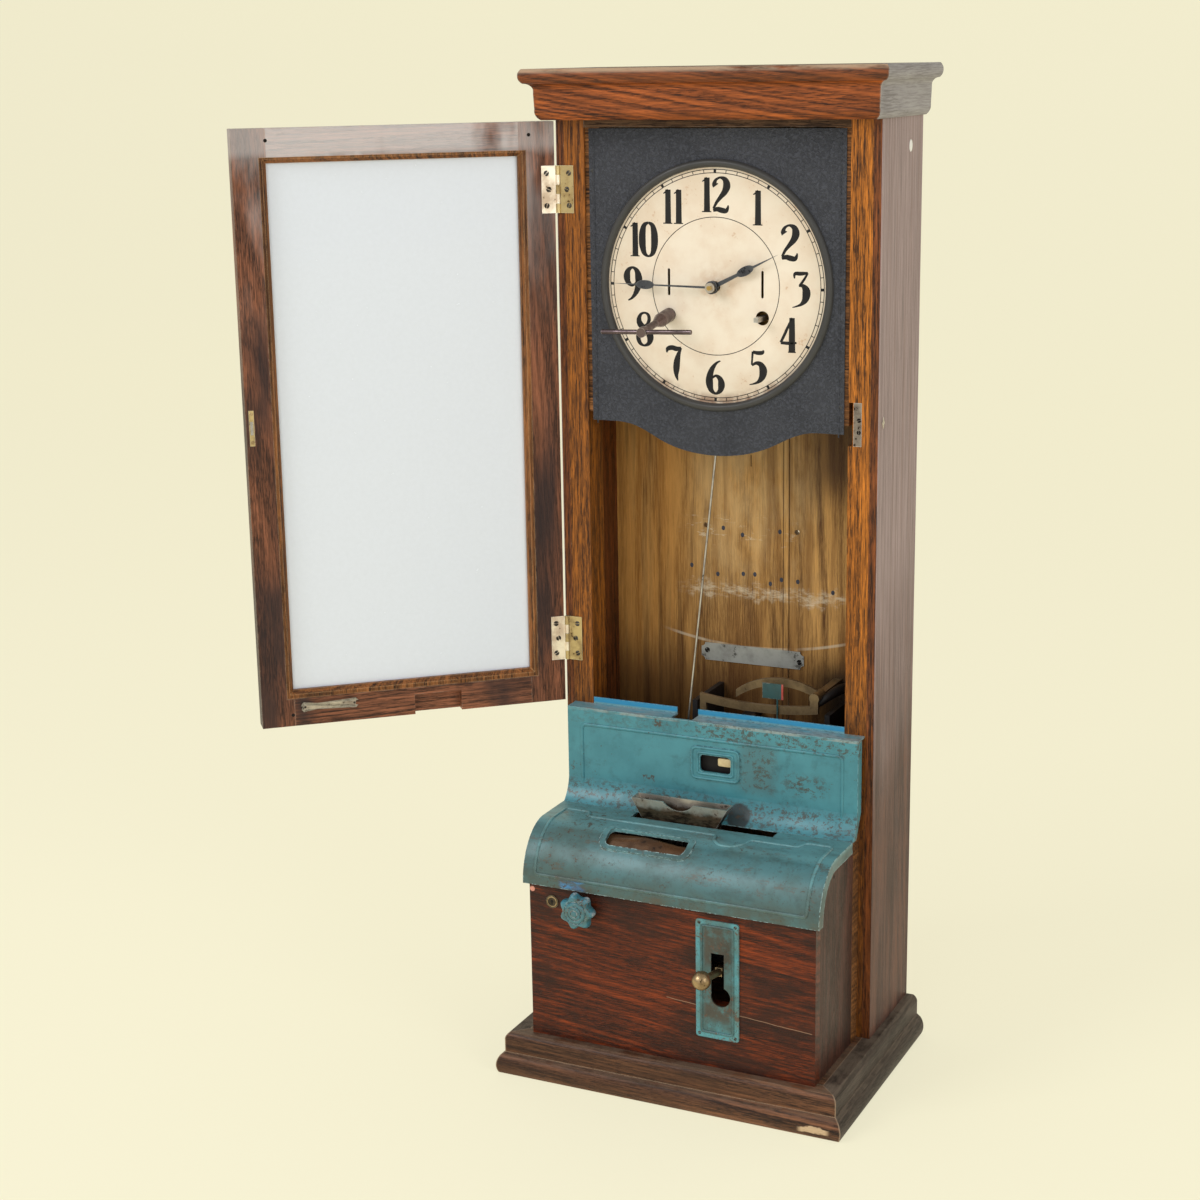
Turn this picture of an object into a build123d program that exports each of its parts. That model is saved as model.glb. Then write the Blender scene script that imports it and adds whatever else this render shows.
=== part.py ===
from build123d import *
import os
from math import atan2, cos, degrees, hypot, pi, radians, sin, sqrt

# Wall time recorder in an oak case: a spring clock above, a card printer below, its glazed door open.
# Origin: underside of the plinth, on the middle of the case, in the plane of the stiles' front faces.
# X runs to the right as one faces the dial, Y runs back to the wall, Z runs up. Millimetres.

os.makedirs("parts", exist_ok=True)

# Case
case_half_width = 160.0
case_depth = 115.6
side_thickness = 8.0
stile_width = 21.0
stile_depth = 30.0
back_thickness = 10.0
back_joint_x = 34.0
back_joint_gap = 1.2
wall_screw_reach = 48.5
wall_screw_x = -5.8
wall_screw_z = 512.3
wall_screw_radius = 2.6
cut_overrun = 5.0
fit_gap = 0.3
running_gap = 0.05

# Plinth
plinth_reach = 16.7
plinth_front = -134.4
plinth_height = 40.9
plinth_wall = 24.0
plinth_nose = 1.7
plinth_nose_z = 10.7
plinth_step = 1.4
plinth_step_z = 18.0
plinth_quirk = 5.2
plinth_quirk_z = 21.0
plinth_ovolo_z = 33.0
plinth_shoulder = 9.5
deck_thickness = 12.0

# Crown
crown_underside = 912.3
crown_reach = 2.6
crown_front = -24.8
crown_wall = 12.0
crown_foot = 4.4
crown_foot_height = 9.7
crown_fascia_top = 23.7
crown_fascia_reach = 5.0
crown_cove_start = 27.7
crown_cove_reach = 12.2
crown_cove_top = 33.1
crown_nose_reach = 15.4
crown_nose_height = 37.7
crown_top_reach = 12.9
crown_height = 46.3
crown_board_thickness = 12.0
top_board_thickness = 10.0
top_rail_height = 7.3

# Lower box
box_inset = 13.6
box_front = -116.4
box_wall = 12.0

# Hood over the box
hood_overhang = 4.6
hood_top = 252.0
hood_rear = -31.5
hood_bend = -75.5
hood_reach = 46.0
hood_drop = 54.0
hood_sheet = 2.4
hood_strip = 11.0
hood_notch_left = -70.0
hood_notch_right = 77.0
hood_notch_depth = 15.5
hood_window_left = -73.0
hood_window_right = 9.0
hood_window_front = -103.0
hood_window_rear = -83.0
hood_window_corner = 6.0
hood_frame_width = 6.5
hood_frame_height = 1.0

# Apron between the hood and the door
apron_gap = 1.0
apron_front = -18.0
apron_top = 347.0
apron_sheet = 1.5
apron_cove_z = 275.0
apron_foot = -31.0
apron_foot_z = 251.0
apron_bulge = 3.5
apron_return = 10.0
apron_flange_top = 353.5
apron_flange_sheet = 1.2
rod_notch_left = -40.6
rod_notch_right = -18.7
sight_x = 7.0
sight_z = 306.3
sight_width = 32.0
sight_height = 17.0
sight_corner = 4.0
surround_width = 52.0
surround_height = 34.0
surround_corner = 8.0
surround_rise = 1.2

# Dial and its plate
dial_z = 761.4
plate_front = 1.0
plate_sheet = 1.2
plate_gap = 4.5
plate_head_gap = 1.0
plate_shoulder_z = 631.0
plate_shoulder_width = 24.5
plate_flank_half = 54.0
plate_flank_z = 614.5
plate_tip_z = 603.7
cleat_width = 15.0
cleat_depth = 18.0
cleat_margin = 8.0
bezel_margin = 10.8
bezel_width = 7.5
bezel_rise = 4.0
dial_lap = 3.8
dial_sheet = 0.8
winding_x = 46.5
winding_drop = 27.5
winding_hole = 6.5
slot_width = 2.5
slot_length = 25.0
slot_rise = 3.1
pipe_hole = 5.0

# Clock movement
frame_sheet = 2.0
front_frame_y = 22.0
back_frame_y = 62.0
frame_half_width = 104.0
frame_drop = 82.0
frame_rise = 92.0
frame_corner = 10.0
pillar_radius = 4.0
pillar_inset = 8.0
bracket_width = 10.0
bracket_x = 90.0
bracket_drop = 20.0
bracket_rise = 60.0
pivot_radius = 1.5
arbor_radius = 2.5
great_teeth = 56
centre_leaves = 8
great_width = 3.0
drum_radius = 22.0
drum_length = 20.0
left_great_y = 27.0
right_great_y = 56.0
winding_square = 4.4
square_front = -14.0
centre_teeth = 60
third_leaves = 6
centre_module = 0.96
centre_wheel_y = 50.0
wheel_width = 1.6
leaf_width = 5.0
third_teeth = 58
escape_leaves = 6
third_module = 0.74
third_wheel_y = 34.0
third_bearing = 108.0
escape_teeth = 30
escape_radius = 18.0
escape_tooth_depth = 3.2
escape_wheel_y = 40.0
verge_rise = 24.5
verge_span = 17.0
verge_drop = 5.2
crutch_length = 70.0
crutch_width = 2.2
motion_y = 12.0
motion_width = 2.4
cannon_teeth = 12
minute_teeth = 36
minute_leaves = 10
hour_teeth = 40
motion_distance = 15.0
minute_bearing = 250.0
cannon_radius = 2.2
hour_pipe_radius = 3.6
hand_sheet = 0.8
hour_hand_y = -4.5
minute_hand_y = -8.0
minute_hand_gap = 5.7
minute_hand_bearing = 179.2
hour_hand_length = 71.6
hour_hand_bearing = 25.9
hand_boss_radius = 6.0
minute_stem = 1.1
hour_stem = 2.2
blade_half_width = 4.2
blade_half_length = 9.0
nut_radius = 4.6
nut_length = 3.6
cap_radius = 2.2
tooth_root_share = 0.27
tooth_tip_share = 0.11
addendum_share = 0.72
dedendum_share = 1.15

# Winding key, hanging on the left arbor
key_back_y = 1.0
key_barrel_radius = 6.5
key_bore_radius = 4.9
key_bore_depth = 18.0
key_barrel_length = 22.0
key_neck_length = 34.0
key_stem_radius = 3.3
key_length = 71.5
key_cap_radius = 4.5
key_cap_length = 7.0
key_end_x = -42.7
key_end_y = -70.0
key_end_z = 725.7
key_bar_radius = 2.2
key_bar_length = 89.0
key_bar_setback = 4.0
key_bar_shift = 3.5
key_bar_tilt = 1.9

# Door, built about its hinge axis and then swung open
hinge_inset = 2.0
door_axis_y = -1.3
door_open_angle = 138.2
door_bottom = 348.0
door_head_gap = 1.5
door_edge = 2.8
door_reveal = 14.2
door_thickness = 19.0
sight_left = 34.4
free_stile_width = 31.5
sight_bottom = 382.7
sight_top = 879.6
bead_left_width = 7.2
bead_right_width = 6.8
bead_foot_width = 7.7
bead_head_width = 5.4
rebate_depth = 11.0
glass_sheet = 3.0
bead_setback = 0.8
rail_notch_left = 105.6
rail_notch_right = 152.2
rail_notch_top = 367.7
rail_notch_depth = 10.0
lock_edge = 3.0
lock_width = 4.6
lock_bottom = 622.5
lock_top = 655.7
lock_depth = 12.0
bolt_height = 12.0
bolt_thickness = 2.2

# Hinges
leaf_sheet = 1.2
leaf_reach = 16.0
knuckle_radius = 2.3
hinge_height = 44.0
lower_hinge_z = 412.0
upper_hinge_z = 848.2
hinge_pin_radius = 1.0
knuckle_count = 5
gain_gap = 0.5

# Strike in the right stile
strike_margin = 5.0
strike_width = 7.8
strike_bottom = 621.0
strike_top = 661.0
strike_sheet = 1.2
strike_lip = 0.5
strike_notch_depth = 12.0

# Back board fittings
beat_left = -59.0
beat_right = 51.0
beat_bottom = 373.0
beat_top = 391.0
beat_sheet = 1.2
beat_notch = 4.0

# Drive rod and its feed arm
rod_radius = 1.0
rod_y = 12.0
rod_top_x = 0.0
rod_top_z = 640.0
rod_foot_x = -36.0
rod_foot_z = 322.0
rod_bush_radius = 4.0
rod_bush_length = 12.0
feed_arm_length = 36.0
feed_arm_height = 6.0
feed_arm_width = 5.0
feed_hub_radius = 6.0
feed_gap = 1.0

# Recorder inside the lower box and behind the apron
cheek_sheet = 4.0
cheek_front = -98.0
cheek_rear = -4.0
cheek_top = 196.0
cheek_window_margin = 14.0
rail_y = -45.0
rail_z = 158.0
rail_radius = 4.0
receiver_left = -58.7
receiver_right = 19.1
receiver_front = -46.0
receiver_rear = -33.5
receiver_sheet = 1.4
receiver_throat = 236.0
lip_left = -68.0
lip_right = 32.0
lip_front = -50.0
lip_z = 273.0
thumb_x = -19.0
thumb_width = 31.0
thumb_depth = 8.0
arm_width = 4.0
carriage_front = -52.0
carriage_rear = -38.0
carriage_bottom = 150.0
carriage_top = 166.0
gear_front = -62.0
gear_rear = -56.0
gear_module = 2.0
knob_teeth = 12
idler_teeth = 20
idler_z = 165.0
rack_before = 26.5
rack_lap = 4.7
rack_body = 6.0
rack_foot_width = 18.7
print_y = -22.0
print_z = 222.0
print_wheel_radius = 14.0
print_wheel_width = 7.0
print_wheel_pitch = 9.0
print_wheel_count = 4
print_x = -19.5
print_shaft_radius = 3.0

# Selector knob
knob_inset = 56.9
knob_z = 181.0
knob_lobes = 7
knob_lobe_circle = 13.5
knob_lobe_radius = 5.2
knob_core_radius = 13.0
knob_thickness = 11.0
knob_mid_y = -128.0
knob_boss_radius = 7.5
knob_boss_front = -137.0
spindle_radius = 4.0
collar_width = 4.0

# Punch lever
lever_x = 50.0
lever_y = -60.0
lever_z = 127.0
lever_width = 7.0
lever_height = 8.0
lever_hub_radius = 8.0
punch_shaft_radius = 4.0
ball_y = -156.0
ball_z = 146.0
ball_radius = 9.0
ball_neck_radius = 3.6
hammer_y = -70.0
hammer_z = 173.0
hammer_x = -19.5
hammer_width = 24.0
hammer_head_height = 12.0
hammer_head_z = 222.0
hammer_head_front = -70.0
hammer_head_rear = -53.0
hammer_arm = 5.0
hammer_hub_radius = 7.0

# Slot plate and lock on the box front
slot_plate_left = 28.0
slot_plate_right = 71.5
slot_plate_bottom = 71.0
slot_plate_top = 189.5
slot_plate_sheet = 1.5
slot_plate_corner = 3.0
lever_slot_left = 43.4
lever_slot_right = 56.5
lever_slot_top = 157.0
lever_slot_bottom = 118.0
lever_hole_x = 53.0
lever_hole_z = 114.0
lever_hole_radius = 9.8
lever_opening_margin = 6.0
lock_inset = 24.2
lock_z = 181.4
lock_radius = 4.8
lock_collar_radius = 6.4
lock_collar_sheet = 0.8
cam_length = 14.0
cam_width = 6.0
cam_sheet = 2.0

# Mechanism seen above the apron
bar_left = -32.0
bar_right = 91.0
bar_y = 40.0
bar_z = 355.0
bar_height = 8.0
bar_sheet = 4.0
bar_sag = 5.0
leg_width = 6.0
leg_foot_z = 322.0
curve_left = 1.4
curve_foot_z = 363.0
curve_middle_x = 44.0
curve_top_z = 379.0
curve_right = 87.0
curve_end_z = 370.0
curve_y = 52.0
tag_foot_z = 338.0
tag_left = 34.7
tag_right = 56.2
tag_bottom = 362.0
tag_top = 377.4
tag_y = 34.0
tag_sheet = 1.2
tag_stem_x = 50.0
tag_stem_radius = 0.9
rear_shaft_y = 47.0
rear_shaft_z = 312.0
rear_shaft_radius = 3.0
left_wheel_x = 18.0
left_wheel_radius = 27.0
middle_wheel_x = 44.0
middle_wheel_radius = 24.0
right_wheel_x = 72.0
right_wheel_radius = 25.0
rear_wheel_width = 4.0
bracket_sheet = 5.0
rear_bracket_left = -40.0
rear_bracket_right = 98.0
rear_bracket_bottom = 285.0
rear_bracket_front = 36.0
lever_arm_radius = 5.0

# Turns, in degrees
quarter_turn = 90.0
half_turn = 180.0
full_turn = 360.0

# Sizes that follow from the case and from what fits in it
side_inner = case_half_width - side_thickness
stile_inner_half = side_inner - stile_width
plinth_half_width = case_half_width + plinth_reach
crown_half_width = case_half_width + crown_reach
box_half_width = case_half_width - box_inset
box_inner = box_half_width - box_wall
hood_half_width = box_half_width + hood_overhang
hood_lip_z = hood_top - hood_drop
apron_half_width = side_inner - apron_gap
back_front = case_depth - back_thickness
plate_half_width = stile_inner_half - plate_gap
plate_flat_half = plate_half_width - plate_shoulder_width
plate_top = crown_underside - top_rail_height - plate_head_gap
plate_back = plate_front + plate_sheet
bezel_radius = plate_half_width - bezel_margin
paper_radius = bezel_radius - bezel_width
dial_radius = paper_radius + dial_lap
minute_hand_length = paper_radius - minute_hand_gap
door_axis_x = hinge_inset - case_half_width
door_width = case_half_width - door_reveal - door_axis_x - door_edge
door_top = crown_underside - door_head_gap
sight_right = door_width - free_stile_width
bead_left = sight_left - bead_left_width
bead_right = sight_right + bead_right_width
bead_bottom = sight_bottom - bead_foot_width
bead_top = sight_top + bead_head_width
lock_right = door_width - lock_edge
lock_left = lock_right - lock_width
strike_left = stile_inner_half + strike_margin
strike_right = strike_left + strike_width
strike_notch_right = strike_left - strike_lip
knob_x = knob_inset - box_half_width
lock_x = lock_inset - box_half_width
rack_left = knob_x - rack_before
rack_right = receiver_left + rack_lap
rack_foot_right = receiver_left + rack_foot_width


base_up = (Align.CENTER, Align.CENTER, Align.MIN)


def slab(low, high, mode=Mode.ADD):
    """A block between two opposite corners."""
    with Locations(low):
        Box(high[0] - low[0], high[1] - low[1], high[2] - low[2],
            align=(Align.MIN, Align.MIN, Align.MIN), mode=mode)


def bar_along_y(x, z, front, back, radius, mode=Mode.ADD):
    """A round bar that runs from front to back."""
    with Locations(Location((x, front, z), (-quarter_turn, 0, 0))):
        Cylinder(radius, back - front, align=(Align.CENTER, Align.CENTER, Align.MIN), mode=mode)


def bar_along_x(y, z, left, right, radius, mode=Mode.ADD):
    """A round bar that runs from left to right."""
    with Locations(Location((left, y, z), (0, quarter_turn, 0))):
        Cylinder(radius, right - left, align=(Align.CENTER, Align.CENTER, Align.MIN), mode=mode)


def bar_along_z(x, y, bottom, top, radius, mode=Mode.ADD):
    """A round bar that stands upright."""
    with Locations((x, y, bottom)):
        Cylinder(radius, top - bottom, align=(Align.CENTER, Align.CENTER, Align.MIN), mode=mode)


def facing(x, y, z):
    """A plane that looks to the front at a depth, its own X to the right and its own Y up."""
    return Plane((x, y, z), x_dir=(1, 0, 0), z_dir=(0, -1, 0))


def finish(piece, name):
    """Labels a finished piece and writes it."""
    piece.part.label = name
    export_step(piece.part, f"parts/{name}.step")


# The plinth and the crown are lengths of moulding mitred at the two front corners.

def plinth_profile(plane):
    """Section of the plinth: nose, step, quirk and ovolo, measured outwards from its foot."""
    with BuildSketch(plane) as section:
        with BuildLine():
            Line((-plinth_wall, 0), (0, 0))
            ThreePointArc((0, 0), (plinth_nose, plinth_nose_z), (-plinth_step, plinth_step_z))
            Polyline((-plinth_step, plinth_step_z), (-plinth_quirk, plinth_quirk_z),
                     (-plinth_quirk, plinth_ovolo_z))
            RadiusArc((-plinth_quirk, plinth_ovolo_z), (-plinth_shoulder, plinth_height),
                      -(plinth_height - plinth_ovolo_z))
            Polyline((-plinth_shoulder, plinth_height), (-plinth_wall, plinth_height), (-plinth_wall, 0))
        make_face()
    return section.sketch


def crown_profile(plane):
    """Section of the crown: quarter round, fascia, cove and nose, measured outwards from its foot."""
    with BuildSketch(plane) as section:
        with BuildLine():
            Line((-crown_wall, 0), (0, 0))
            RadiusArc((0, 0), (crown_foot, crown_foot_height), -crown_foot_height)
            Polyline((crown_foot, crown_foot_height), (crown_fascia_reach, crown_fascia_top),
                     (crown_fascia_reach, crown_cove_start))
            RadiusArc((crown_fascia_reach, crown_cove_start), (crown_cove_reach, crown_cove_top),
                      crown_cove_reach - crown_fascia_reach)
            ThreePointArc((crown_cove_reach, crown_cove_top), (crown_nose_reach, crown_nose_height),
                          (crown_top_reach, crown_height))
            Polyline((crown_top_reach, crown_height), (-crown_wall, crown_height), (-crown_wall, 0))
        make_face()
    return section.sketch


def mitred_front(profile, half_width, front, reach, height):
    """The front length of a moulding, cut at both corners."""
    start = half_width + reach
    with BuildPart() as piece:
        extrude(profile(Plane((start, front, height), x_dir=(0, -1, 0), z_dir=(-1, 0, 0))),
                amount=2 * start)
        for side in (1, -1):
            split(bisect_by=Plane((side * half_width, front, height), z_dir=(side, 1, 0)), keep=Keep.BOTTOM)
    return piece


def mitred_returns(profile, half_width, front, reach, height):
    """The two side lengths of a moulding, from the mitre to the wall."""
    with BuildPart() as piece:
        extrude(profile(Plane((half_width, case_depth, height), x_dir=(1, 0, 0), z_dir=(0, -1, 0))),
                amount=case_depth - front + reach)
        split(bisect_by=Plane((half_width, front, height), z_dir=(1, 1, 0)), keep=Keep.TOP)
        mirror(about=Plane.YZ)
    return piece


plinth_front_length = mitred_front(plinth_profile, plinth_half_width, plinth_front, plinth_wall, 0)
finish(plinth_front_length, "plinth_front")
plinth_returns = mitred_returns(plinth_profile, plinth_half_width, plinth_front, plinth_wall, 0)
finish(plinth_returns, "plinth_returns")
crown_front_length = mitred_front(crown_profile, crown_half_width, crown_front, crown_nose_reach,
                                  crown_underside)
finish(crown_front_length, "crown_front")
crown_returns = mitred_returns(crown_profile, crown_half_width, crown_front, crown_nose_reach,
                               crown_underside)
finish(crown_returns, "crown_returns")

plinth_inner = plinth_half_width - plinth_wall
with BuildPart() as base_boards:
    slab((-plinth_inner, plinth_front + plinth_wall, 0), (plinth_inner, case_depth, deck_thickness))
    slab((-plinth_inner, plinth_front + plinth_wall, plinth_height - deck_thickness),
         (plinth_inner, case_depth, plinth_height))
finish(base_boards, "base_boards")

crown_inner = crown_half_width - crown_wall
crown_top = crown_underside + crown_height
with BuildPart() as top_boards:
    slab((-crown_inner, crown_front + crown_wall, crown_underside),
         (crown_inner, case_depth, crown_underside + top_board_thickness))
    slab((-stile_inner_half, 0, crown_underside - top_rail_height),
         (stile_inner_half, stile_depth, crown_underside))
    slab((-crown_inner, crown_front + crown_wall, crown_top - crown_board_thickness),
         (crown_inner, case_depth, crown_top))
finish(top_boards, "top_boards")

# Case boards
hinge_bottoms = [centre - hinge_height / 2 for centre in (lower_hinge_z, upper_hinge_z)]

with BuildPart() as case_sides:
    slab((side_inner, 0, plinth_height), (case_half_width, case_depth, crown_underside))
    mirror(about=Plane.YZ)
    for bottom in hinge_bottoms:
        bar_along_z(door_axis_x, door_axis_y, bottom - gain_gap, bottom + hinge_height + gain_gap,
                    knuckle_radius + gain_gap, mode=Mode.SUBTRACT)
finish(case_sides, "case_sides")

with BuildPart() as front_stiles:
    slab((stile_inner_half, 0, plinth_height), (side_inner, stile_depth, crown_underside))
    mirror(about=Plane.YZ)
    slab((stile_inner_half, 0, strike_bottom), (strike_notch_right, strike_notch_depth, strike_top),
         mode=Mode.SUBTRACT)
    slab((strike_left, 0, strike_bottom), (strike_right, strike_sheet, strike_top), mode=Mode.SUBTRACT)
finish(front_stiles, "front_stiles")

with BuildPart() as strike_plate:
    slab((strike_left, 0, strike_bottom), (strike_right, strike_sheet, strike_top))
finish(strike_plate, "strike_plate")

with BuildPart() as back_boards:
    slab((-side_inner, back_front, plinth_height), (back_joint_x, case_depth, crown_underside))
    slab((back_joint_x + back_joint_gap, back_front, plinth_height),
         (side_inner, case_depth, crown_underside))
    for side in (1, -1):
        bar_along_y(wall_screw_x + side * wall_screw_reach, wall_screw_z, back_front - cut_overrun,
                    case_depth + cut_overrun, wall_screw_radius, mode=Mode.SUBTRACT)
finish(back_boards, "back_boards")

with BuildPart() as beat_plate:
    with BuildSketch(facing((beat_left + beat_right) / 2, back_front, (beat_bottom + beat_top) / 2)):
        Rectangle(beat_right - beat_left, beat_top - beat_bottom)
        with GridLocations(beat_right - beat_left, beat_top - beat_bottom, 2, 2):
            Circle(beat_notch, mode=Mode.SUBTRACT)
    extrude(amount=beat_sheet)
finish(beat_plate, "beat_plate")

# Lower box: a front panel, two sides whose top edges follow the hood, and two battens under the apron.
batten_front = apron_front + apron_sheet


def hood_curve(inset):
    """Profile of the hood, inset from its outer face, as (y, z) on the side plane."""
    Line((hood_rear, hood_top - inset), (hood_bend, hood_top - inset))
    EllipticalCenterArc((hood_bend, hood_lip_z), hood_reach - inset, hood_drop - inset,
                        start_angle=quarter_turn, arc_size=quarter_turn)


with BuildPart() as box_front_panel:
    slab((-box_half_width, box_front, plinth_height),
         (box_half_width, box_front + box_wall, hood_lip_z - fit_gap))
    slab((lever_slot_left - lever_opening_margin, box_front - cut_overrun,
          lever_hole_z - lever_hole_radius),
         (lever_hole_x + lever_hole_radius, box_front + box_wall + cut_overrun, lever_slot_top),
         mode=Mode.SUBTRACT)
    bar_along_y(knob_x, knob_z, box_front - cut_overrun, box_front + box_wall + cut_overrun,
                spindle_radius + running_gap, mode=Mode.SUBTRACT)
    bar_along_y(lock_x, lock_z, box_front - cut_overrun, box_front + box_wall + cut_overrun,
                lock_radius + running_gap, mode=Mode.SUBTRACT)
finish(box_front_panel, "box_front")

side_inset = hood_sheet + fit_gap
with BuildPart() as box_sides:
    with BuildSketch(Plane.YZ.offset(box_inner)):
        with BuildLine():
            Line((batten_front, plinth_height), (batten_front, hood_top - side_inset))
            Line((batten_front, hood_top - side_inset), (hood_bend, hood_top - side_inset))
            EllipticalCenterArc((hood_bend, hood_lip_z), hood_reach - side_inset, hood_drop - side_inset,
                                start_angle=quarter_turn, arc_size=quarter_turn)
            Polyline((hood_bend - hood_reach + side_inset, hood_lip_z), (box_front + box_wall, hood_lip_z),
                     (box_front + box_wall, plinth_height), (batten_front, plinth_height))
        make_face()
    extrude(amount=box_wall)
    slab((box_inner, box_front - cut_overrun, plinth_height),
         (box_half_width, box_front + box_wall, hood_top),
         mode=Mode.SUBTRACT)
    mirror(about=Plane.YZ)
finish(box_sides, "box_sides")

# Hood: a drawn sheet with a rounded front, a notch for the card receiver and a framed window.
with BuildPart() as window_frame:
    with BuildSketch(Plane.YZ):
        with BuildLine():
            hood_curve(-hood_frame_height)
            Line((hood_bend - hood_reach - hood_frame_height, hood_lip_z),
                 (hood_bend - hood_reach + hood_sheet, hood_lip_z))
            hood_curve(hood_sheet)
            Line((hood_rear, hood_top - hood_sheet), (hood_rear, hood_top + hood_frame_height))
        make_face()
    extrude(amount=hood_half_width, both=True)
    with BuildSketch(Plane.XY.offset(hood_lip_z)):
        with Locations(((hood_window_left + hood_window_right) / 2,
                        (hood_window_front + hood_window_rear) / 2)):
            RectangleRounded(hood_window_right - hood_window_left + 2 * hood_frame_width,
                             hood_window_rear - hood_window_front + hood_frame_width,
                             hood_window_corner + hood_frame_width / 2)
    extrude(amount=2 * hood_drop, mode=Mode.INTERSECT)

with BuildPart() as hood:
    with BuildSketch(Plane.YZ):
        with BuildLine():
            hood_curve(0)
            Line((hood_bend - hood_reach, hood_lip_z), (hood_bend - hood_reach + hood_sheet, hood_lip_z))
            hood_curve(hood_sheet)
            Line((hood_rear, hood_top - hood_sheet), (hood_rear, hood_top))
        make_face()
    extrude(amount=hood_half_width, both=True)
    with BuildSketch(Plane.YZ.offset(hood_half_width - hood_sheet)):
        with BuildLine():
            hood_curve(0)
            Line((hood_bend - hood_reach, hood_lip_z), (hood_bend - hood_reach + hood_strip, hood_lip_z))
            hood_curve(hood_strip)
            Line((hood_rear, hood_top - hood_strip), (hood_rear, hood_top))
        make_face()
    extrude(amount=hood_sheet)
    mirror(about=Plane.YZ)
    add(window_frame.part)
    slab((hood_notch_left, hood_rear - hood_notch_depth, hood_top - hood_strip),
         (hood_notch_right, hood_rear + cut_overrun, hood_top + cut_overrun), mode=Mode.SUBTRACT)
    with BuildSketch(Plane.XY.offset(hood_lip_z)):
        with Locations(((hood_window_left + hood_window_right) / 2,
                        (hood_window_front + hood_window_rear) / 2)):
            RectangleRounded(hood_window_right - hood_window_left, hood_window_rear - hood_window_front,
                             hood_window_corner)
    extrude(amount=2 * hood_drop, mode=Mode.SUBTRACT)
finish(hood, "hood")

# Apron: a sheet cover with a ledge on top, a coved foot, side returns and a framed sight hole.
cove_outer = (apron_front - apron_bulge, (apron_cove_z + apron_foot_z) / 2)
cove_inner = (apron_front - apron_bulge + apron_sheet, (apron_cove_z + apron_foot_z) / 2)
with BuildPart() as apron:
    with BuildSketch(Plane.YZ):
        with BuildLine():
            Polyline((0, apron_top), (apron_front, apron_top), (apron_front, apron_cove_z))
            ThreePointArc((apron_front, apron_cove_z), cove_outer, (apron_foot, apron_foot_z))
            Line((apron_foot, apron_foot_z), (apron_foot + apron_sheet, apron_foot_z))
            ThreePointArc((apron_foot + apron_sheet, apron_foot_z), cove_inner,
                          (apron_front + apron_sheet, apron_cove_z))
            Polyline((apron_front + apron_sheet, apron_cove_z),
                     (apron_front + apron_sheet, apron_top - apron_sheet),
                     (0, apron_top - apron_sheet), (0, apron_top))
        make_face()
    extrude(amount=apron_half_width, both=True)
    with BuildSketch(Plane.YZ.offset(apron_half_width - apron_sheet)):
        with BuildLine():
            Polyline((apron_front + apron_return, apron_top), (apron_front, apron_top),
                     (apron_front, apron_cove_z))
            ThreePointArc((apron_front, apron_cove_z), cove_outer, (apron_foot, apron_foot_z))
            Polyline((apron_foot, apron_foot_z), (apron_foot + apron_return, apron_foot_z),
                     (apron_front + apron_return, apron_cove_z), (apron_front + apron_return, apron_top))
        make_face()
    extrude(amount=apron_sheet)
    mirror(about=Plane.YZ)
    slab((-stile_inner_half + fit_gap, 0, apron_top - apron_sheet),
         (stile_inner_half - fit_gap, apron_flange_sheet, apron_flange_top))
    slab((rod_notch_left, apron_front + 2 * apron_sheet, apron_top - cut_overrun),
         (rod_notch_right, cut_overrun, apron_flange_top + cut_overrun), mode=Mode.SUBTRACT)
    with BuildSketch(facing(sight_x, apron_front, sight_z)):
        RectangleRounded(surround_width, surround_height, surround_corner)
    extrude(amount=surround_rise)
    with BuildSketch(facing(sight_x, apron_front - cut_overrun, sight_z)):
        RectangleRounded(sight_width, sight_height, sight_corner)
    extrude(amount=-2 * cut_overrun, mode=Mode.SUBTRACT)
finish(apron, "apron")

# Dial plate with an ogee foot, and the wooden cleats that it is screwed to.
with BuildPart() as dial_plate:
    with BuildSketch(facing(0, plate_front + plate_sheet, 0)):
        with BuildLine():
            Line((plate_half_width, plate_top), (-plate_half_width, plate_top))
            Line((-plate_half_width, plate_top), (-plate_half_width, plate_shoulder_z))
            Line((-plate_half_width, plate_shoulder_z), (-plate_flat_half, plate_shoulder_z))
            Spline((-plate_flat_half, plate_shoulder_z), (-plate_flank_half, plate_flank_z),
                   (0, plate_tip_z),
                   (plate_flank_half, plate_flank_z), (plate_flat_half, plate_shoulder_z),
                   tangents=((1, 0), (1, 0)))
            Line((plate_flat_half, plate_shoulder_z), (plate_half_width, plate_shoulder_z))
            Line((plate_half_width, plate_shoulder_z), (plate_half_width, plate_top))
        make_face()
        with Locations((0, dial_z)):
            Circle(paper_radius, mode=Mode.SUBTRACT)
    extrude(amount=plate_sheet)
finish(dial_plate, "dial_plate")

with BuildPart() as battens:
    slab((box_inner, batten_front, plinth_height), (box_half_width, 0, apron_top - apron_sheet))
    slab((stile_inner_half - cleat_width, plate_back, plate_shoulder_z + cleat_margin),
         (stile_inner_half, plate_back + cleat_depth, crown_underside - top_rail_height))
    mirror(about=Plane.YZ)
finish(battens, "battens")

with BuildPart() as bezel_ring:
    with BuildSketch(Plane((0, plate_front, dial_z), x_dir=(1, 0, 0), z_dir=(0, 0, 1))):
        with Locations((paper_radius + bezel_width / 2, 0)):
            Ellipse(bezel_width / 2, bezel_rise)
        with Locations((paper_radius + bezel_width / 2, bezel_rise)):
            Rectangle(2 * bezel_width, 2 * bezel_rise, mode=Mode.SUBTRACT)
    revolve(axis=Axis((0, 0, dial_z), (0, 1, 0)))
finish(bezel_ring, "bezel_ring")

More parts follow.
